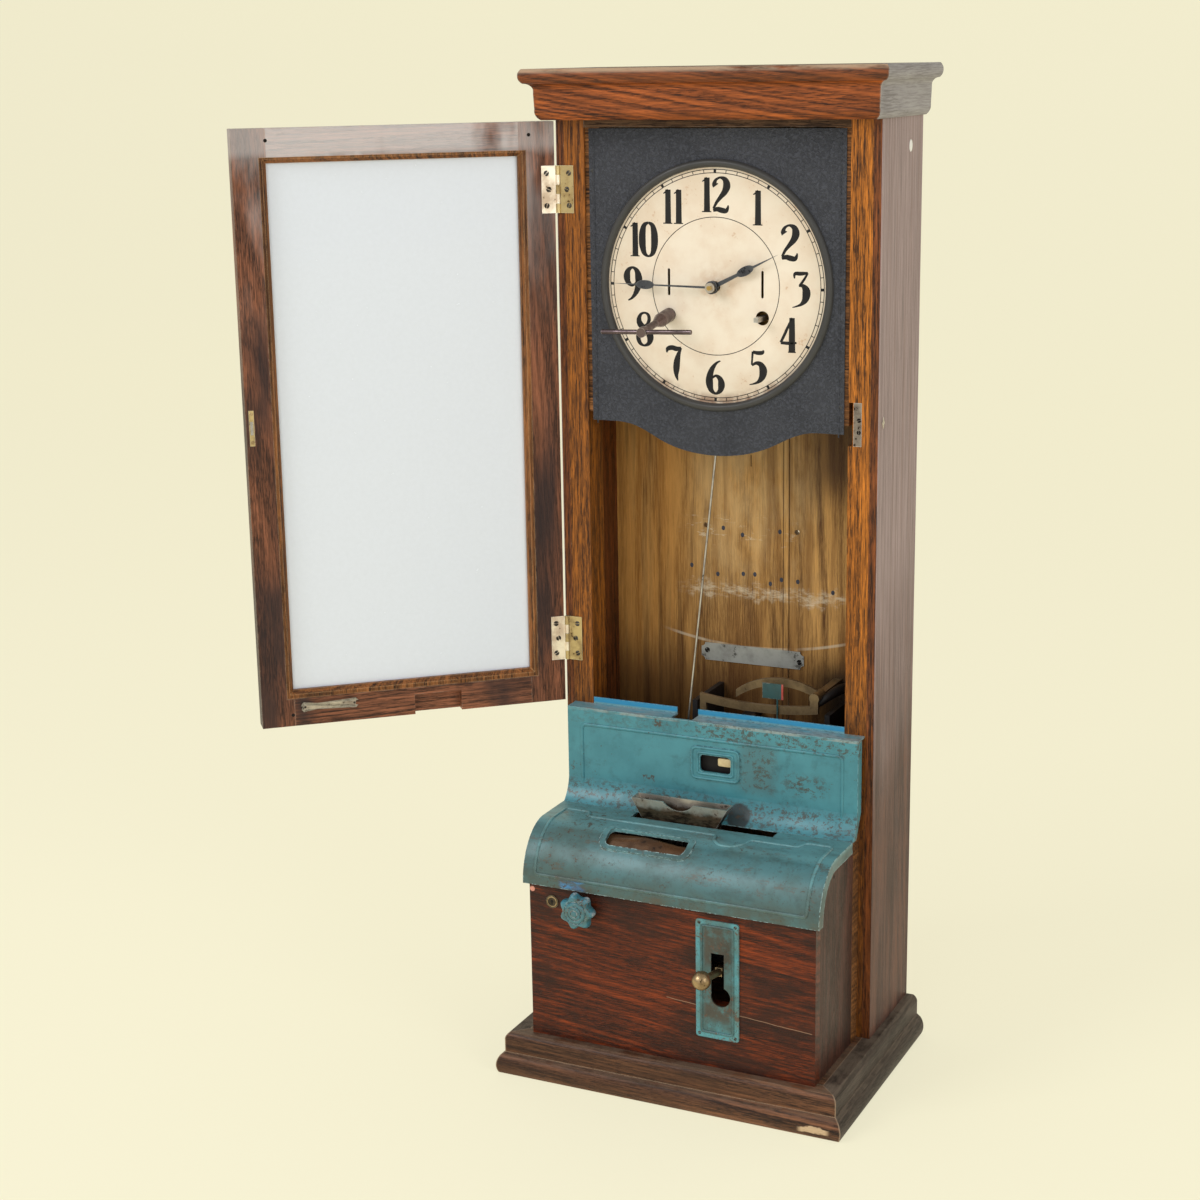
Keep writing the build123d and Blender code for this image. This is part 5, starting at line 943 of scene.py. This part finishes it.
def printed_dial(scene):
    """Numbers, circles, minute marks and dots in slightly raised ink."""
    dial = scene.recorder_dial
    low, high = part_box("dial")
    middle = (low.z + high.z) / 2

    def line(flat, half_width, closed=False, sides=4):
        return front_ridge(flat + (0.0, middle), low.y - dial.ink_height * 0.25, half_width, dial.ink_height, closed,
                           sides)

    numbers = []
    for hour in range(1, 13):
        turn = math.radians(90.0 - 30.0 * hour)
        centre = np.array((math.cos(turn), math.sin(turn))) * dial.number_circle
        widths = [NUMBER_WIDTHS.get(digit, USUAL_WIDTH) * dial.stretch for digit in str(hour)]
        across = -sum(widths) / 2
        for digit, wide in zip(str(hour), widths):
            for stroke in STROKES[digit]:
                curve = smoothed(stroke) / 100.0
                flat = centre + (curve[:, :2] * (dial.stretch, 1.0) + (across + wide / 2, -0.5)) * dial.number_height
                numbers.append(line(flat, curve[:, 2] * dial.number_height * dial.weight, sides=6))
            across += wide
    finished("dial_numbers", numbers, "printed ink", "case", smooth=False)

    lines = [line(circle(180, radius), dial.line_half_width, True)
             for radius in (dial.inner_circle, dial.track_inner, dial.track_outer)]
    for minute, spoke in enumerate(circle(60, 1.0)):
        wide, inner, outer = dial.line_half_width, dial.track_inner, dial.track_outer
        if minute % 5 == 0:
            wide = dial.dot_half_width
            inner, outer = (inner + outer) / 2 - wide, (inner + outer) / 2 + wide
        lines.append(line(spoke * np.linspace(inner, outer, 3)[:, None], wide))
    finished("dial_minute_track", lines, "printed ink", "case", smooth=False)


def oblong(left, foot, right, head):
    """The corners of an upright oblong, once round."""
    return [(left, foot), (right, foot), (right, head), (left, head)]


# The hood's quarter ellipse in the plane across: where it starts behind, its lip's height, how far out and down.
HOOD_BEND, HOOD_LIP, HOOD_OUT, HOOD_DROP = -0.0755, 0.198, 0.046, 0.054


def pressed_lines(scene):
    """Raised lines pressed in the hood, the upper cover, the slot plate and the dial plate."""
    beads = scene.recorder_beads
    wide, tall, reach = beads.half_width, beads.height, beads.corner

    # Hood: the second number is the way from the rear edge over the flat top and down the quarter ellipse.
    rear, half, side, back, ledge = -0.0315, 0.1385, 0.113, 0.0185, 0.031
    flat_run = rear - HOOD_BEND
    curve_run = math.pi / 2 * math.sqrt((HOOD_OUT ** 2 + HOOD_DROP ** 2) / 2)
    low = flat_run + curve_run - 0.01
    path = rounded([(-half, back), (-side, back), (-0.108, ledge), (0.026, ledge), (0.029, 0.044), (0.037, 0.053),
                    (0.051, 0.053), (0.059, 0.044), (0.062, ledge), (0.108, ledge), (side, back), (half, back),
                    (half, low), (-half, low)], reach * 0.7)
    turn = np.clip((path[:, 1] - flat_run) / curve_run, 0.0, 1.0) * (math.pi / 2)
    points = np.stack([path[:, 0], np.where(turn > 0, HOOD_BEND - HOOD_OUT * np.sin(turn), rear - path[:, 1]),
                       HOOD_LIP + HOOD_DROP * np.cos(turn)], axis=1)
    normals = unit(np.stack([np.zeros(len(turn)), -np.sin(turn) / HOOD_OUT, np.cos(turn) / HOOD_DROP], axis=1))
    # The pressed lines take the lighter enamel as a painted highlight.
    finished("hood_pressed_lines", [ridge(points, normals, wide, tall, True)], "bead painted highlight enamel", "hood")

    cover_face, flange, sight_across, sight_up = -0.018, 0.0012, 0.007, 0.3063
    lines = [front_ridge(rounded(oblong(-0.1355, 0.2625, 0.1355, 0.33), reach), cover_face, wide, tall, True)]
    for half_wide, half_tall, soft in ((0.0242, 0.0153, 0.01), (0.0184, 0.0106, 0.005)):
        around = oblong(sight_across - half_wide, sight_up - half_tall, sight_across + half_wide,
                        sight_up + half_tall)
        lines.append(front_ridge(rounded(around, soft), cover_face - flange, wide * 0.8, tall, True))
    finished("cover_pressed_lines", lines, "cover enamel", "case")

    low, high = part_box("slot_plate")
    inset = 0.006
    edge = rounded(oblong(low.x + inset, low.z + inset, high.x - inset, high.z - inset), 0.006)
    finished("slot_plate_pressed_lines", [front_ridge(edge, low.y, 0.0013, 0.0012, True)], "plate enamel", "case")

    low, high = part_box("dial_plate")
    inset, foot, head = 0.005, 0.628, 0.9
    strips = [front_ridge(rounded([(x, foot), (x, head)], reach, False), low.y, 0.0007, 0.0006)
              for x in (inset - high.x, high.x - inset)]
    finished("dial_plate_pressed_lines", strips, "crinkled black", "case")


OPEN = math.radians(138.2)
DOOR_ALONG = np.array((math.cos(OPEN), -math.sin(OPEN), 0.0))
DOOR_LOOKS = np.array((math.sin(OPEN), math.cos(OPEN), 0.0))


def door_point(away, height, deep=0.0013):
    """A point of the open door: away from the hinge pin, up, and deep behind the face that one sees."""
    return np.array((-0.158, -0.0013, height)) + DOOR_ALONG * away - DOOR_LOOKS * deep


def screws(scene):
    """Slotted screws in the hinges, the strike plate, the beat plate, the dial plate and the slot plate."""
    small = scene.recorder_fastenings

    def drive(name, places, normal, size, turn, finish, body="case"):
        heads = [button(place, normal, small.screw_radius * size, small.screw_rise * size, turn + 1.3 * index,
                        small.slot_half_width * size) for index, place in enumerate(places)]
        finished(name, heads, finish, body)

    leaf = [(away, centre + offset) for centre in (0.412, 0.8482)
            for away, offset in ((0.0112, -0.015), (0.009, 0.0), (0.0112, 0.015))]
    drive("hinge_screws_case", [(away - 0.158, -0.0012, height) for away, height in leaf], FRONT, 1.0, 0.6,
          "dark steel", "case")
    drive("hinge_screws_door", [door_point(away, height, 0.0001) for away, height in leaf], DOOR_LOOKS, 1.0, 0.6,
          "dark steel", "door")
    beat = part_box("beat_plate")[0].y
    drive("beat_plate_screws", [(-0.0527, beat, 0.3832), (0.0463, beat, 0.3804)], FRONT, 1.05, 2.2, "dark hole")
    drive("strike_screws", [(0.1412, 0.0, 0.645), (0.1412, 0.0, 0.634)], FRONT, 0.8, 0.3, "dark hole")
    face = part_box("dial_plate")[0].y
    drive("dial_plate_screws", [(x, face, height) for x in (-0.1228, 0.1228) for height in (0.8655, 0.771, 0.656)],
          FRONT, 0.7, 0.9, "bezel black")
    low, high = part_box("slot_plate")
    inset = 0.0036
    drive("slot_plate_screws", [(x, low.y, z) for x in (low.x + inset, high.x - inset)
                                for z in (low.z + inset, high.z - inset)], FRONT, 0.62, 0.2, "dark steel")
    drive("lock_screws", [door_point(0.2985, height) for height in (0.6525, 0.626)], DOOR_LOOKS, 0.62, 1.0,
          "dark brass", "door")


def dark_pegs():
    """Old nail holes in the back boards, pegs in the door and a hole in the box's side."""
    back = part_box("beat_plate")[1].y
    holes = [(-0.0354, 0.5107), (-0.0149, 0.5052), (0.0248, 0.5114), (-0.0698, 0.4699), (-0.0415, 0.463),
             (-0.014, 0.4654), (-0.0016, 0.466), (0.0149, 0.4578), (0.0266, 0.4629), (0.0439, 0.4624),
             (0.0805, 0.4546)]
    finished("back_board_holes", [dot((x, back, z), FRONT, 0.0021, (0.9, 1.15)) for x, z in holes], "blue dark hole",
             "case")
    pegs = [dot(door_point(away, height), DOOR_LOOKS, 0.0017)
            for away, height in ((0.2723, 0.9), (0.0272, 0.899), (0.2742, 0.359))]
    finished("door_pegs", pegs, "dark hole", "door")
    finished("box_side_hole", [dot((0.1464, -0.069, 0.2308), RIGHT, 0.0015)], "dark hole", "case")


def small_plates():
    """A bare plate with notched ends on the door, a diamond on the case's side and a white plug near its top."""
    half_long, half_tall, notch, away, height = 0.02785, 0.005, 0.0026, 0.23845, 0.366
    turn = np.linspace(0.0, math.pi / 2, 6)
    corner = np.stack([half_long - notch * np.cos(turn), half_tall - notch * np.sin(turn)], axis=1)
    back = corner[::-1]
    outline = np.concatenate([corner, back * (-1, 1), corner * (-1, -1), back * (1, -1)])
    finished("door_bare_plate", [plate(outline, -DOOR_ALONG, DOOR_LOOKS, door_point(away, height), 0.0008)],
             "worn nickel", "door", smooth=False)
    nails = [button(door_point(away + aside, height, 0.0005), DOOR_LOOKS, 0.0011, 0.0005, rings=5, spokes=14)
             for aside in (-0.0238, 0.0238)]
    finished("door_plate_nails", nails, "dark steel", "door")

    diamond = [(0.0, 0.0056), (-0.0016, 0.0021), (-0.0038, 0.0), (-0.0016, -0.0021), (0.0, -0.0056),
               (0.0016, -0.0021), (0.0038, 0.0), (0.0016, 0.0021)]
    finished("side_diamond", [plate(diamond, -FRONT, RIGHT, (0.16, 0.0117, 0.6423), 0.0007),
                              button((0.1606, 0.0117, 0.6423), RIGHT, 0.0013, 0.0005, 0.0)],
             "worn nickel", "case", smooth=False)
    finished("side_plug", [button((0.16, 0.0797, 0.8858), RIGHT, 0.0056, 0.001, rings=9, squeeze=(0.74, 1.0))],
             "white plug", "case")


def sight_block():
    """The ivory block on a dark tray behind the sight hole: a cube swelled by a superellipse, whose
    coordinates are signed powers of cosine and sine."""
    low, high = np.array((0.0084, -0.0163, 0.304)), np.array((0.023, -0.0118, 0.3122))

    squareness, steepest = 0.28, math.pi / 2 - 0.02

    def power(values):
        return np.sign(values) * np.abs(values) ** squareness

    tilt = np.linspace(-steepest, steepest, 15)[:, None]
    turn = turns(28)
    points = np.stack([power(np.cos(tilt)) * power(np.cos(turn)), power(np.cos(tilt)) * power(np.sin(turn)),
                       power(np.sin(tilt)) + 0.0 * turn], axis=-1)
    finished("ivory_block", [tube(points * (high - low) / 2 + (high + low) / 2)], "old ivory", "case")
    tray = plate(rounded(oblong(-0.0185, -0.0115, 0.0185, 0.0115), 0.006), RIGHT, FRONT, (0.007, -0.0104, 0.3063),
                 0.001)
    finished("sight_tray", [tray], "sooty iron", "case", smooth=False)


def star_knob():
    """The star knob: a turned profile whose radius is drawn in seven times round by the cosine."""
    profile = np.array((  # radius, depth, share of the scallops
        (7.5, -116.8, 0.0), (7.5, -122.3, 0.0), (13.0, -122.7, 0.3), (16.6, -123.4, 0.9), (18.0, -125.2, 1.0),
        (18.3, -128.0, 1.0), (17.9, -130.8, 1.0), (16.6, -132.8, 0.9), (14.6, -133.8, 0.6), (12.6, -134.1, 0.2),
        (11.6, -133.7, 0.0), (11.0, -133.2, 0.0), (10.4, -134.2, 0.0), (9.6, -135.0, 0.0), (8.0, -135.4, 0.0),
        (7.2, -135.1, 0.0), (6.8, -134.6, 0.0), (6.2, -135.8, 0.0), (5.2, -136.4, 0.0), (3.8, -136.5, 0.0),
        (3.4, -136.0, 0.0), (2.6, -136.7, 0.0), (1.0, -137.0, 0.0))) * (0.001, 0.001, 1.0)
    rows = smoothed(profile, 3)
    turn = turns(196)
    lobes, depth = 7.0, 0.2
    radius = rows[:, :1] * (1.0 - depth * rows[:, 2:] * (0.5 - 0.5 * np.cos(lobes * turn)))
    points = np.stack([np.cos(turn) * radius, rows[:, 1:2] + 0.0 * turn, np.sin(turn) * radius], axis=-1)
    knob = finished("star_knob_turned", [tube(points + (-0.0895, 0.0, 0.181))], "knob enamel", "selector")
    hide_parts("star_knob")


def window_strip():
    """The wavy brown strip of steel seen behind the hood's window. It follows the hood's quarter ellipse, drawn in by
    a depth that swings with the sine of the way across; its upper edge sinks to the right by a cosine."""
    share = np.linspace(0.0, 1.0, 41)[:, None]
    down = np.linspace(0.0, 1.0, 15)[None, :]
    left, wide, thick, foot = -0.079, 0.094, 0.0006, 0.86
    sink = 0.1 + 0.15 * (0.5 - 0.5 * np.cos(math.pi * np.clip(share * 1.4 - 0.1, 0.0, 1.0)))
    turn = sink + (foot - sink) * down
    wave = 0.0046 + 0.0012 * np.sin(math.tau * (share * 1.3 + 0.1)) * (1.0 - down * 0.5)
    near, far = (np.stack([left + wide * share + 0.0 * down, HOOD_BEND - (HOOD_OUT - depth) * np.sin(turn),
                           HOOD_LIP + (HOOD_DROP - depth) * np.cos(turn)], axis=-1)
                 for depth in (wave, wave + thick))
    finished("hood_window_strip", [tube(np.concatenate([near, far[:, ::-1]], axis=1))], "window strip", "hood")


def lock_face():
    """The ring and keyhole of the hood's lock."""
    across, up, face, radius = -0.1222, 0.1814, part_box("hood_lock")[0].y, 0.0048
    finished("lock_ring", [front_ridge(circle(40, radius) + (across, up), face, 0.0007, 0.0005, True, 8)],
             "dark brass", "hood_lock")
    slot = np.stack([np.full(8, across), np.linspace(0.1812, 0.1776, 8)], axis=1)
    finished("lock_keyhole", [dot((across, face, up + 0.0004), FRONT, 0.0014, spokes=18),
                              front_ridge(slot, face, 0.0006, 0.0002)], "dark hole", "hood_lock")


def black_arm():
    """The thick black arm at the right of the linkage: a round bar along a smooth path, thinning to its ends."""
    path = smoothed([(0.086, 0.042, 0.356), (0.096, 0.05, 0.365), (0.105, 0.066, 0.37),
                     (0.111, 0.086, 0.364), (0.113, 0.101, 0.35), (0.113, 0.105, 0.34)], 8)
    thickest = 0.0052
    radius = thickest * np.sin(math.pi * np.linspace(0.16, 0.84, len(path)))[:, None, None]
    along = unit(np.gradient(path, axis=0))
    side = unit(np.cross(along, UP))
    round_x, round_y = circle(18, 1.0).T[:, None, :, None]
    points = path[:, None, :] + (side[:, None, :] * round_x - np.cross(side, along)[:, None, :] * round_y) * radius
    finished("linkage_black_arm", [tube(points)], "sooty iron", "case")


def floor_sweep(stage):
    """A floor that is level up to the bend and then follows a quarter circle up to a wall."""
    finish_of("pale floor", Roughness=1.0, Specular_IOR_Level=0.0, Emission_Strength=stage.glow,
              Emission_Color=stage.floor, Base_Color=dimmed(stage.floor, stage.floor_share))
    near, level, bend, wall, drop = -6.0, 10.0, 2.0, 5.0, 0.0003
    across, deep = np.meshgrid(np.linspace(-9.0, 9.0, 5), np.linspace(0.0, 1.0, 40))
    run = deep * (level + bend * math.pi / 2 + wall)
    turn = np.clip((run - level) / bend, 0.0, math.pi / 2)
    y = near + np.minimum(run, level) + bend * np.sin(turn)
    z = bend * (1.0 - np.cos(turn)) + np.maximum(run - level - bend * math.pi / 2, 0.0)
    made("pale_floor", *grid(np.stack([across, y, z - drop], axis=-1)), "pale floor")


def soft_room(scene, stage):
    """Light from all round; straight behind everything the camera sees the floor's own colour."""
    scene.world = bpy.data.worlds.new("soft room")
    scene.world.use_nodes = True
    tree = scene.world.node_tree
    tree.nodes.clear()
    w = Wiring(tree)
    sky = w.value("ShaderNodeBackground", {"Color": (1.0, 0.99, 0.97), "Strength": stage.fill})
    behind = w.value("ShaderNodeBackground", {"Color": stage.floor})
    seen = w.value("ShaderNodeLightPath", output="Is Camera Ray")
    w.add("ShaderNodeOutputWorld", {0: w.value("ShaderNodeMixShader", {0: seen, 1: sky, 2: behind})})


def hang_lamps(scene, stage):
    """Three square lamps that look at the middle of the case."""
    aim = Vector((0.0, 0.0, 0.5))
    for name, place, size, share in (("key lamp", (-1.9, -2.6, 2.6), 1.6, 1.0),
                                     ("right lamp", (2.8, -1.4, 1.5), 1.4, 0.45),
                                     ("front lamp", (0.4, -3.2, 1.2), 1.8, 0.35)):
        lamp = bpy.data.lights.new(name, "AREA")
        lamp.shape, lamp.size, lamp.energy = "SQUARE", size, stage.key * share
        held = bpy.data.objects.new(name, lamp)
        held.location = place
        held.rotation_euler = (aim - Vector(place)).to_track_quat("-Z", "Y").to_euler()
        scene.collection.objects.link(held)


def place_camera(scene, stage):
    """The camera of the photograph: turned left by yaw, tipped down by pitch and leaned by roll."""
    yaw, pitch, roll = math.radians(25.85), math.radians(14.07), math.radians(-0.97)
    lens = bpy.data.cameras.new("viewpoint")
    lens.lens, lens.sensor_width, lens.clip_end = stage.lens, 36.0, 60.0
    scene.camera = bpy.data.objects.new("viewpoint", lens)
    scene.camera.matrix_world = (Matrix.Translation((0.7757, -1.8533, 0.9692)) @ Matrix.Rotation(yaw, 4, "Z")
                                 @ Matrix.Rotation(math.pi / 2 - pitch, 4, "X") @ Matrix.Rotation(roll, 4, "Z"))
    scene.collection.objects.link(scene.camera)


class RECORDER_OT_stage(bpy.types.Operator):
    """Makes the pale floor, the soft light and the camera"""
    bl_idname = "recorder.stage"
    bl_label = "Stage"

    def execute(self, context):
        scene, stage = context.scene, context.scene.recorder_stage
        scene.view_settings.view_transform = "Standard"
        floor_sweep(stage)
        for step in (soft_room, hang_lamps, place_camera):
            step(scene, stage)
        return {"FINISHED"}


class RECORDER_OT_finishes(bpy.types.Operator):
    """Gives the carried-over solids their finishes"""
    bl_idname = "recorder.finishes"
    bl_label = "Finishes"

    def execute(self, context):
        scene = context.scene
        for make_effect in (make_grain_effect, make_edge_effect, make_stain_effect, make_scratch_effect):
            make_effect()
        make_woods(scene.recorder_wood)
        make_paints(scene.recorder_enamel, scene.recorder_dial)
        make_metals(scene.recorder_fastenings)
        paper_dial(scene.recorder_dial)
        old_glass()
        dress()
        return {"FINISHED"}


class RECORDER_OT_dial(bpy.types.Operator):
    """Prints the numbers, circles and minute marks on the dial"""
    bl_idname = "recorder.dial"
    bl_label = "Printed dial"

    def execute(self, context):
        printed_dial(context.scene)
        return {"FINISHED"}


class RECORDER_OT_pressed_lines(bpy.types.Operator):
    """Presses the raised lines into the sheet iron"""
    bl_idname = "recorder.pressed_lines"
    bl_label = "Pressed lines"

    def execute(self, context):
        pressed_lines(context.scene)
        return {"FINISHED"}


class RECORDER_OT_screws(bpy.types.Operator):
    """Drives the slotted screws"""
    bl_idname = "recorder.screws"
    bl_label = "Screws"

    def execute(self, context):
        screws(context.scene)
        return {"FINISHED"}


class RECORDER_OT_pegs(bpy.types.Operator):
    """Marks the old nail holes and the door's pegs"""
    bl_idname = "recorder.pegs"
    bl_label = "Holes and pegs"

    def execute(self, context):
        dark_pegs()
        return {"FINISHED"}


class RECORDER_OT_small_plates(bpy.types.Operator):
    """Fixes the bare plate, the diamond and the white plug"""
    bl_idname = "recorder.small_plates"
    bl_label = "Small plates"

    def execute(self, context):
        small_plates()
        return {"FINISHED"}


class RECORDER_OT_sight(bpy.types.Operator):
    """Puts the ivory block and its tray behind the sight hole"""
    bl_idname = "recorder.sight"
    bl_label = "Sight block"

    def execute(self, context):
        sight_block()
        return {"FINISHED"}


class RECORDER_OT_star_knob(bpy.types.Operator):
    """Turns the star knob"""
    bl_idname = "recorder.star_knob"
    bl_label = "Star knob"

    def execute(self, context):
        star_knob()
        return {"FINISHED"}


class RECORDER_OT_window_strip(bpy.types.Operator):
    """Bends the brown strip behind the hood's window"""
    bl_idname = "recorder.window_strip"
    bl_label = "Window strip"

    def execute(self, context):
        window_strip()
        return {"FINISHED"}


class RECORDER_OT_lock_face(bpy.types.Operator):
    """Cuts the ring and keyhole of the hood's lock"""
    bl_idname = "recorder.lock_face"
    bl_label = "Lock face"

    def execute(self, context):
        lock_face()
        return {"FINISHED"}


class RECORDER_OT_black_arm(bpy.types.Operator):
    """Bends the black arm at the right of the linkage"""
    bl_idname = "recorder.black_arm"
    bl_label = "Black arm"

    def execute(self, context):
        black_arm()
        return {"FINISHED"}


class RECORDER_PT_panel(bpy.types.Panel):
    """Lists the steps in the sidebar"""
    bl_label = "Time recorder"
    bl_idname = "RECORDER_PT_panel"
    bl_space_type = "VIEW_3D"
    bl_region_type = "UI"
    bl_category = "Time recorder"

    def draw(self, context):
        for step in STEPS:
            self.layout.operator(step.bl_idname)


STEPS = [RECORDER_OT_stage, RECORDER_OT_finishes, RECORDER_OT_dial, RECORDER_OT_pressed_lines, RECORDER_OT_screws,
         RECORDER_OT_pegs, RECORDER_OT_small_plates, RECORDER_OT_sight, RECORDER_OT_star_knob,
         RECORDER_OT_window_strip, RECORDER_OT_lock_face, RECORDER_OT_black_arm]


def register():
    for kind in [*GROUPS.values(), *STEPS, RECORDER_PT_panel]:
        bpy.utils.register_class(kind)
    for name, kind in GROUPS.items():
        setattr(bpy.types.Scene, name, bpy.props.PointerProperty(type=kind))


def unregister():
    for name in GROUPS:
        delattr(bpy.types.Scene, name)
    for kind in reversed([*GROUPS.values(), *STEPS, RECORDER_PT_panel]):
        bpy.utils.unregister_class(kind)


def main():
    register()
    for step in STEPS:
        tool, name = step.bl_idname.split(".")
        getattr(getattr(bpy.ops, tool), name)()


if __name__ == "__main__":
    main()
